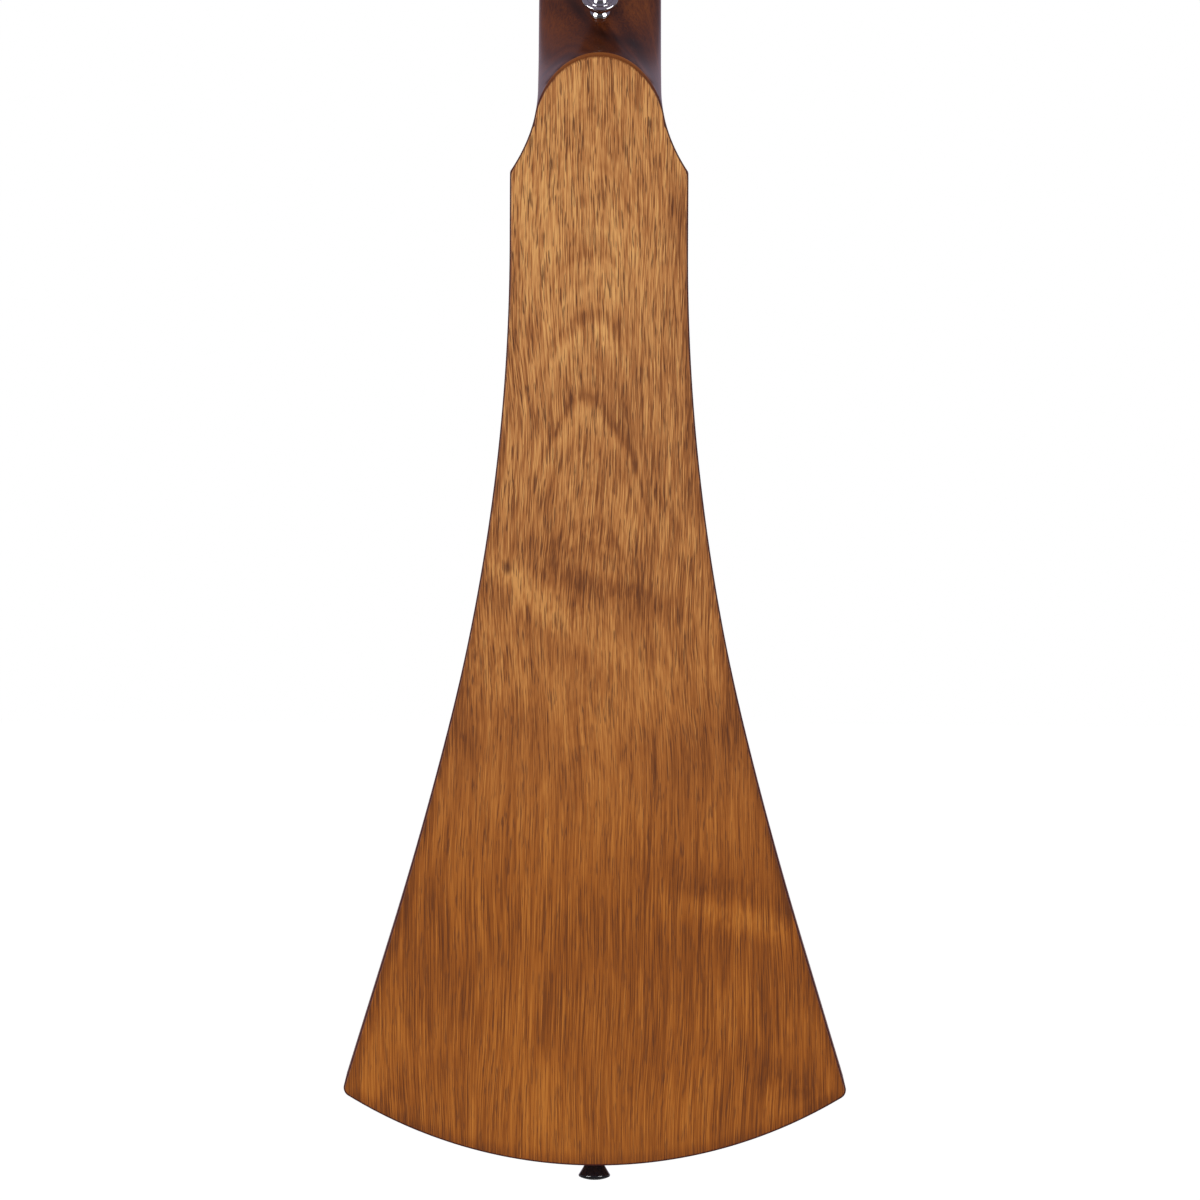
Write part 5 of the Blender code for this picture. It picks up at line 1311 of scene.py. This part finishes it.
def winding(number, radius):
    """The turns above the string's last one, up the post's waist and into its hole."""
    side, place = post(number)
    rise = 2 * radius * COIL_SPACING
    start = STRING_LEVEL + rise
    turns = math.floor((POST_HOLE_HEIGHT - start - 0.4 * MM) / rise)
    turns = min(max(turns, 1), MOST_COILS)
    quarter = math.pi / 2
    steps = 28 * turns
    coil = arc(0, 0, POST_WAIST_RADIUS + GAP / 2 + radius, quarter, quarter - 2 * math.pi * turns, steps)
    levels = spread(start, start + rise * turns, steps)
    points = [Vector((side * x, level, z)) for (x, z), level in zip(coil, levels)]
    inside = Vector((0, POST_HOLE_HEIGHT, 0))
    points.append(points[-1].lerp(inside, 0.35) + Vector((0, 0, 0.4 * MM)))
    points.append(inside)
    across = side * POST_RADIUS
    points.append(Vector((across * 0.4, POST_HOLE_HEIGHT, -POST_RADIUS * 0.9)))
    points.append(Vector((across * 0.55, POST_HOLE_HEIGHT + 0.4 * MM, -POST_RADIUS * 1.7)))
    return [place @ point for point in points]


def make_strings():
    for number, surface, diameter in zip(NUMBERS, STRING_METALS, STRING_DIAMETERS):
        radius = diameter / 2
        look = {"sharp": 60, "weighted": False}
        route = string_route(number, radius)
        radii = [BALL_RADIUS] * 2 + [radius] * (len(route) - 2)
        piece(f"wire_{number}", surface, tube(route, radii, 10), nodes=[f"string_{number}"], **look)
        points = winding(number, radius)
        coil = tube(points, [radius] * len(points), 8)
        piece(f"post_winding_{number}", surface, coil, body=f"post_{number}", **look)


# Tuners
def gear_outline(shrink):
    root, tip = (GEAR_ROOT_RADIUS, TOOTH_ROOT_HALF), (GEAR_TIP_RADIUS, TOOTH_TIP_HALF)
    corners = ((*root, -1), (*tip, -1), (*tip, 1), (*root, 1))
    points = []
    for tooth in range(GEAR_TEETH):
        middle = math.pi * ((2 * tooth + 1) / GEAR_TEETH - 0.5)
        for radius, half, side in corners:
            angle = middle + side * half / radius
            points.append(((radius - shrink) * math.cos(angle), (radius - shrink) * math.sin(angle)))
    return points


def make_posts():
    """Each post stands along Y in the headstock's frame, with its gear behind the plate."""
    radius, edge, head = POST_RADIUS, POST_CHAMFER, POST_HEIGHT
    waist_top = POST_HOLE_HEIGHT + WAIST_FROM_HOLE
    waist_foot = STRING_LEVEL - WAIST_BELOW_STRING
    profile = [
        (0, head - 0.35 * MM),
        (radius * 0.35, head - 0.35 * MM),
        (radius * 0.45, head),
        (radius - edge, head),
        (radius - edge * 0.3, head - edge * 0.3),
        (radius, head - edge),
        (radius, waist_top + WAIST_SLOPE),
        (POST_WAIST_RADIUS, waist_top),
        (POST_WAIST_RADIUS, waist_foot),
        (radius, waist_foot - WAIST_SLOPE),
        (radius, GEAR_LEVEL),
        (0, GEAR_LEVEL),
    ]
    low, high = GEAR_LEVEL - GEAR_THICKNESS / 2, GEAR_LEVEL + GEAR_THICKNESS / 2
    edges = ((low, GEAR_CHAMFER), (low + GEAR_CHAMFER, 0.0), (high - GEAR_CHAMFER, 0.0), (high, GEAR_CHAMFER))
    end = low - POST_SCREW_HEIGHT
    screw_profile = [
        (0, end),
        (1.2 * MM, end),
        (1.7 * MM, end + 0.25 * MM),
        (1.8 * MM, low + 0.1 * MM),
        (0, low + 0.1 * MM),
    ]
    for number in NUMBERS:
        body = f"post_{number}"
        place = post(number)[1]
        upright = place @ UPRIGHT
        shaft = build(f"post_{number}_turned", CHROME, turned(profile, upright, 32))
        ends = [place @ Vector((0, POST_HOLE_HEIGHT, reach)) for reach in (-2 * radius, 2 * radius)]
        cut(shaft, tube(ends, [POST_HOLE_RADIUS] * 2, 20))
        dress(shaft, body, [f"tuner_post_{number}"])
        rings = [[place @ Vector((x, y, z)) for x, z in gear_outline(shrink)] for y, shrink in edges]
        piece(f"gear_{number}", GEAR_METAL, skin(rings), body=body)
        screw = build(f"gear_screw_{number}", CHROME, turned(screw_profile, upright, 28))
        cut(screw, cross(place @ stand((0, end, 0), BACK), *GEAR_SCREW_CROSS))
        dress(screw, body)


def make_bushings():
    bore = POST_RADIUS + GAP / 2
    high = BUSHING_FLANGE_THICKNESS + GAP
    edge = BUSHING_FLANGE_RADIUS
    profile = [
        (bore, high - 0.2 * MM),
        (bore + 0.2 * MM, high),
        (edge - 1.0 * MM, high),
        (edge - 0.4 * MM, high - 0.25 * MM),
        (edge, GAP + 0.2 * MM),
        (edge, GAP),
        (BUSHING_RADIUS, GAP),
        (BUSHING_RADIUS, -BUSHING_LENGTH),
        (bore, -BUSHING_LENGTH),
    ]
    for number in NUMBERS:
        sleeve = turned(profile, post(number)[1] @ UPRIGHT, 40, closed=True)
        piece(f"bushing_{number}", CHROME, sleeve, nodes=[f"tuner_bushing_{number}"])


def worm(place, start, end):
    """A shaft along X with one helical thread round X = 0, whose crest there faces +Z."""
    turns = math.ceil(WORM_LENGTH / THREAD_LEAD / 2) + 2
    half = WORM_LENGTH / 2
    corners = (
        (-THREAD_ROOT_HALF, WORM_SHAFT_RADIUS),
        (-THREAD_TIP_HALF, WORM_TIP_RADIUS),
        (THREAD_TIP_HALF, WORM_TIP_RADIUS),
        (THREAD_ROOT_HALF, WORM_SHAFT_RADIUS),
    )
    columns = 28
    points = []
    for share in spread(0, 1, columns):
        angle = 2 * math.pi * share
        row = [(start, WORM_SHAFT_RADIUS)]
        for turn in range(-turns, turns + 1):
            for offset, radius in corners:
                x = (turn + share) * THREAD_LEAD + offset
                inside = abs(x) <= half
                row.append((x, radius) if inside else (math.copysign(half, x), WORM_SHAFT_RADIUS))
        row.append((end, WORM_SHAFT_RADIUS))
        for x, radius in row:
            points.append(place @ Vector((x, -radius * math.sin(angle), radius * math.cos(angle))))
    count = len(row)
    faces = [range(0, columns * count, count), range(columns * count - 1, 0, -count)]
    for first in range(0, columns * count, count):
        for i in range(first, first + count - 1):
            faces.append((i, i + 1, i + 1 + count, i + count))
    return points, faces


def button(place, start):
    """An oval button, flattened on its faces and narrowing to the shaft."""
    rings = []
    for share in spread(0, 1, 26)[1:-1]:
        angle = math.pi * share
        x = start + BUTTON_LENGTH * (1 - math.cos(angle)) / 2
        neck = 1 - BUTTON_PINCH * math.exp(-(((share - BUTTON_PINCH_AT) / BUTTON_PINCH_WIDTH) ** 2))
        half_z = BUTTON_WIDTH / 2 * math.sin(angle) ** 0.72 * neck
        half_y = BUTTON_THICKNESS / 2 * math.sin(angle) ** 0.6
        ring = []
        for c, s in arc(0, 0, 1, 0, 2 * math.pi, 36)[:-1]:
            z = half_z * math.copysign(abs(c) ** 0.85, c)
            y = half_y * math.copysign(abs(s) ** 0.8, s)
            ring.append(place @ Vector((x, y, z)))
        rings.append(ring)
    return skin(rings)


def make_knobs():
    start = HEAD_TOP_HALF + BUTTON_CLEAR - POST_SIDE
    shaft_end = -WORM_LENGTH / 2 - 2 * GAP - LUG_THICKNESS - MM
    radius = COLLAR_RADIUS
    last = start + COLLAR_IN_BUTTON
    first = last - COLLAR_LENGTH
    profile = [
        (0, first),
        (radius - 0.4 * MM, first),
        (radius, first + 0.4 * MM),
        (radius, first + 1.0 * MM),
        (radius - 0.3 * MM, first + 1.3 * MM),
        (radius, first + 1.6 * MM),
        (radius, last),
        (0, last),
    ]
    for number in NUMBERS:
        body = f"knob_{number}"
        side, place = post(number)
        place = place @ Matrix.Translation((0, GEAR_LEVEL, -CENTRE_DISTANCE))
        place = place @ Matrix.Rotation(0 if side > 0 else math.pi, 4, "Z")
        thread = worm(place, shaft_end, start + BUTTON_LENGTH / 3)
        shaft = build(f"worm_shaft_{number}", GEAR_METAL, thread, weld=1e-6)
        with edited(shaft.data) as bm:
            bmesh.ops.dissolve_degenerate(bm, edges=bm.edges, dist=1e-6)
        dress(shaft, body, sharp=40, weighted=False)
        collar = turned(profile, place @ stand((0, 0, 0), ASIDE), 32)
        piece(f"collar_{number}", CHROME, collar, body=body)
        look = {"body": body, "nodes": [f"tuner_knob_{number}"], "sharp": 60, "weighted": False}
        piece(f"button_{number}", PEARL, button(place, start), **look)


def rounded_rectangle(x, half_width, low, high, corner):
    points = []
    across, top, foot = half_width - corner, high - corner, low + corner
    corners = ((across, top), (-across, top), (-across, foot), (across, foot))
    for turn, (centre_x, centre_z) in enumerate(corners):
        first = math.pi / 2 * turn
        points += arc(x + centre_x, centre_z, corner, first, first + math.pi / 2, 6)
    return points


def lug(x, z, end):
    """A bearing lug at one end of a worm, round where it stands off the plate."""
    face = x + end * (WORM_LENGTH / 2 + GAP)
    half = LUG_WIDTH / 2
    top = PLATE_BACK + PLATE_THICKNESS / 2
    centre = GEAR_LEVEL - WORM_SHAFT_RADIUS - LUG_OVERHANG + half
    arch = [(top, -half), (top, half)] + arc(centre, 0, half, math.pi / 2, math.pi * 3 / 2, 12)
    sides = sorted((face, face + end * LUG_THICKNESS))
    return skin([[(side, y, z + along) for y, along in arch] for side in sides])


def make_tuner_plates():
    low, high = POST_ROWS[0] - CENTRE_DISTANCE - PLATE_END, POST_ROWS[-1] + PLATE_END
    screw_rows = [low + PLATE_SCREW_INSET, high - PLATE_SCREW_INSET]
    screw_rows += [(a + b - CENTRE_DISTANCE) / 2 for a, b in zip(POST_ROWS, POST_ROWS[1:])]
    profile = dome(PLATE_SCREW_RADIUS, PLATE_SCREW_HEIGHT, 7)
    profile += [(PLATE_SCREW_SHANK, -0.1 * MM), (PLATE_SCREW_SHANK, -8 * MM), (0, -9.5 * MM)]
    for side, node in ((1, "bass_tuner_plate"), (-1, "treble_tuner_plate")):
        x = side * POST_SIDE
        outline = rounded_rectangle(x, PLATE_HALF_WIDTH, low, high, PLATE_CORNER)
        plate = build(node + "_metal", PLATE_METAL, prism(outline, PLATE_BACK, PLATE_BACK + PLATE_THICKNESS))
        soften(plate, PLATE_EDGE, 2, 50)
        lugs, holes = [], []
        for z in POST_ROWS:
            shaft_z = z - CENTRE_DISTANCE
            lugs += [lug(x, shaft_z, 1), lug(x, shaft_z, -1)]
            ends = [(x + reach, GEAR_LEVEL, shaft_z) for reach in (-WORM_LENGTH, WORM_LENGTH)]
            holes.append(tube(ends, [WORM_SHAFT_RADIUS + GAP / 2] * 2, 24))
            ends = [(x, PLATE_BACK + reach, z) for reach in (-MM, 2 * PLATE_THICKNESS)]
            holes.append(tube(ends, [POST_RADIUS + GAP / 2] * 2, 32))
        boolean(plate, build("lugs", None, *lugs), "UNION")
        cut(plate, *holes)
        screws, slots = [], []
        for index, z in enumerate(sorted(screw_rows)):
            face = stand((x, PLATE_BACK, z), BACK)
            screws.append(turned(profile, face, 28))
            face = face @ Matrix.Rotation(FIRST_SCREW_TURN + NEXT_SCREW_TURN * index, 4, "Z")
            face = face @ Matrix.Translation((0, 0, PLATE_SCREW_HEIGHT))
            slots.append(cross(face, *PLATE_SCREW_CROSS))
        heads = build(node.replace("plate", "screws"), CHROME, *screws)
        cut(heads, *slots)
        plate.data.transform(HEAD)
        heads.data.transform(HEAD)
        dress(plate, nodes=[node])
        dress(heads)


# Strap hardware
def make_strap_button():
    z = TONGUE_TOP + STRAP_FROM_TONGUE
    depth, slope = scoop(z)
    outward = Vector((0, -1, slope)).normalized()
    place = stand(Vector((0, -depth, z)) + outward * STRAP_SEAT, outward)
    flange, base, top = STRAP_FLANGE_RADIUS, STRAP_BASE_RADIUS, STRAP_HEIGHT
    rim = flange * STRAP_RIM_SHARE
    profile = [(STRAP_BORE, top - STRAP_DISH), (flange * 0.60, top - STRAP_DISH * 0.85)]
    for angle in spread(0, math.pi, 6):
        profile.append((flange - rim - rim * math.cos(angle), top - rim * 0.6 * (1 - math.sin(angle))))
    profile += [(flange * radius, top * height) for radius, height in STRAP_CUP]
    profile += [(base * radius, top * height) for radius, height in STRAP_FOOT]
    profile.append((STRAP_BORE, 0))
    strap = build("strap_button_turned", CHROME, turned(profile, place, 64, closed=True))
    # The cup's wall under the flange takes the dark chrome: painted shade.
    strap.data.materials.append(PAINTED_SHADE_CHROME)
    to_seat = place.inverted()
    for face in strap.data.polygons:
        if top * 0.2 < (to_seat @ face.center).z < top * 0.75:
            face.material_index = 1
    dress(strap, nodes=["strap_button"], sharp=50)
    level = top - STRAP_DISH + GAP / 2
    profile = dome(STRAP_SCREW_HEAD_RADIUS, STRAP_SCREW_HEAD_HEIGHT, 10, level)
    profile += [(STRAP_SCREW_SHANK, level - 0.05 * MM), (STRAP_SCREW_SHANK, -12 * MM), (0, -14 * MM)]
    screw = build("strap_screw_turned", CHROME, turned(profile, place, 48))
    face = place @ Matrix.Translation((0, 0, level + STRAP_SCREW_HEAD_HEIGHT))
    cut(screw, cross(face, *STRAP_SCREW_CROSS))
    dress(screw, nodes=["strap_button_screw"], sharp=50)


def make_end_pin():
    """Turned upside down: its domed end faces the floor."""
    neck, rim, flat, base = END_PIN_NECK_RADIUS, END_PIN_RIM, END_PIN_FLAT_RADIUS, END_PIN_BASE_RADIUS
    top, low = END_PIN_HEIGHT, END_PIN_NECK_HEIGHT
    first, last = math.radians(65), math.radians(-35)
    rounded = arc(END_PIN_FLANGE_RADIUS - rim, END_PIN_FLARE_HEIGHT, rim, first, last, 10)
    brink_radius, brink_height = rounded[0]
    profile = [(0, top), (flat, top), (flat + 0.3 * MM, top - 0.03 * MM)]
    for share in spread(0, 1, 6)[1:-1]:
        radius = flat + (brink_radius - flat) * share
        profile.append((radius, top - (top - brink_height) * (0.6 * share + 0.4 * share**3)))
    profile += rounded
    cone_radius, cone_height = rounded[-1]
    for share in spread(0, 1, 10)[1:]:
        radius = neck + (cone_radius - neck) * (1 - share) ** 1.15
        profile.append((radius, low + (cone_height - low) * (1 - share)))
    profile += [(base * 0.97, low * 0.45), (base, low * 0.3), (base, GAP), (neck, GAP)]
    profile += [(neck * 0.86, -19 * MM), (0, -19 * MM)]
    pin = turned(profile, END_PIN_PLACE, 64)
    piece("end_pin_turned", BLACK_GLOSS, pin, nodes=["end_pin"], sharp=50)


# Light, floor and camera
def make_world():
    """Even light for the object and a white backdrop; polished surfaces mirror a grey room."""
    world = bpy.data.worlds.new("studio")
    scene.world = world
    g = Graph(world)
    g.tree.nodes.remove(g.tree.nodes["Background"])
    behind = g.axes(g.add("TexCoord").outputs["Generated"])["Y"]
    level = g.span(behind, BACKDROP_FROM, BACKDROP_FULL, ROOM, BACKDROP, smooth=True)
    lights = (((0.97, 0.98, 1.0), AMBIENT), ((0.90, 0.77, 1.0), level), ((1, 1, 1), 1.0))
    shaders = [g.add("Background", {0: (*colour, 1), 1: strength}) for colour, strength in lights]
    g.show("World Output", *[shader.outputs[0] for shader in shaders])


def make_floor():
    surface = bpy.data.materials.new("floor_white")
    g = Graph(surface)
    g.tree.nodes.remove(g.tree.nodes["Principled BSDF"])
    grey = g.add("BsdfDiffuse", {"Color": (FLOOR_GREY, FLOOR_GREY, FLOOR_GREY, 1)}).outputs[0]
    glow = g.add("Emission", {"Strength": FLOOR_GLOW}).outputs[0]
    white = g.add("AddShader", {0: grey, 1: glow}).outputs[0]
    # Polished surfaces mirror a pale floor behind the object and a dim one beneath it.
    behind = g.axes(g.add("TexCoord").outputs["Object"])["Y"]
    level = g.span(behind, FLOOR_DIM_TO, FLOOR_WHITE_FROM, FLOOR_DIM, BACKDROP, smooth=True)
    g.show("Material Output", grey, g.add("Emission", {"Strength": level}).outputs[0], white)
    rim = [(x, y, 0) for x, y in arc(0, 0, FLOOR_RADIUS, 0, 2 * math.pi, 96)[:-1]]
    floor = build("floor", surface, (rim, [range(96)]))
    floor.location = (0, 0, FLOOR_LEVEL)


def make_lights():
    middle = Vector((0, -0.02, -0.42))
    lamps = (
        ("key", (-2.05, -2.05, -0.35), (1.6, 1.1), 38),
        ("fill", (2.05, -2.05, -0.35), (1.6, 1.1), 27),
        ("front_key", (1.5, 2.4, 0.9), (1.1, 1.3), 34),
        ("front_fill", (-1.5, 2.4, 0.1), (0.9, 1.3), 20),
    )
    for name, place, size, power in lamps:
        light = bpy.data.lights.new(name, "AREA")
        light.shape = "RECTANGLE"
        light.size, light.size_y = size
        light.energy = power
        lamp = link(name, light)
        lamp.location = place
        lamp.rotation_euler = (middle - Vector(place)).to_track_quat("-Z", "Y").to_euler()
        # Polished surfaces mirror the white backdrop behind the object, not the lamps in front of it.
        lamp.visible_glossy = place[1] < 0


def make_camera():
    camera = link("camera", bpy.data.cameras.new("camera"))
    scene.camera = camera
    eye = Vector((VIEW_CENTRE.x, VIEW_CENTRE.y - CAMERA_DISTANCE, CAMERA_LEVEL))
    look = VIEW_CENTRE - eye
    turn = look.to_track_quat("-Z", "Y").to_matrix()
    camera.location = eye
    camera.rotation_euler = (turn @ Matrix.Rotation(CAMERA_ROLL, 3, "Z")).to_euler()
    camera.data.sensor_width = 36.0
    camera.data.lens = camera.data.sensor_width * look.length / VIEW_WIDTH
    camera.data.clip_end = 60.0
    scene.view_settings.view_transform = "Standard"


def dress_hidden_nodes():
    """Inner pieces keep their CAD shape and take their wood or metal."""
    for name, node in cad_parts.items():
        if node.hide_render:
            continue
        node.data.materials.clear()
        node.data.materials.append(STEEL if name == "neck_bar" else INNER_WOOD)


make_world()
make_floor()
make_lights()
make_camera()
make_back_plate()
make_soundboard()
make_ribs()
make_neck()
make_fingerboard()
make_bridge()
make_pins()
make_strings()
make_posts()
make_bushings()
make_knobs()
make_tuner_plates()
make_strap_button()
make_end_pin()
dress_hidden_nodes()

bpy.context.view_layer.update()
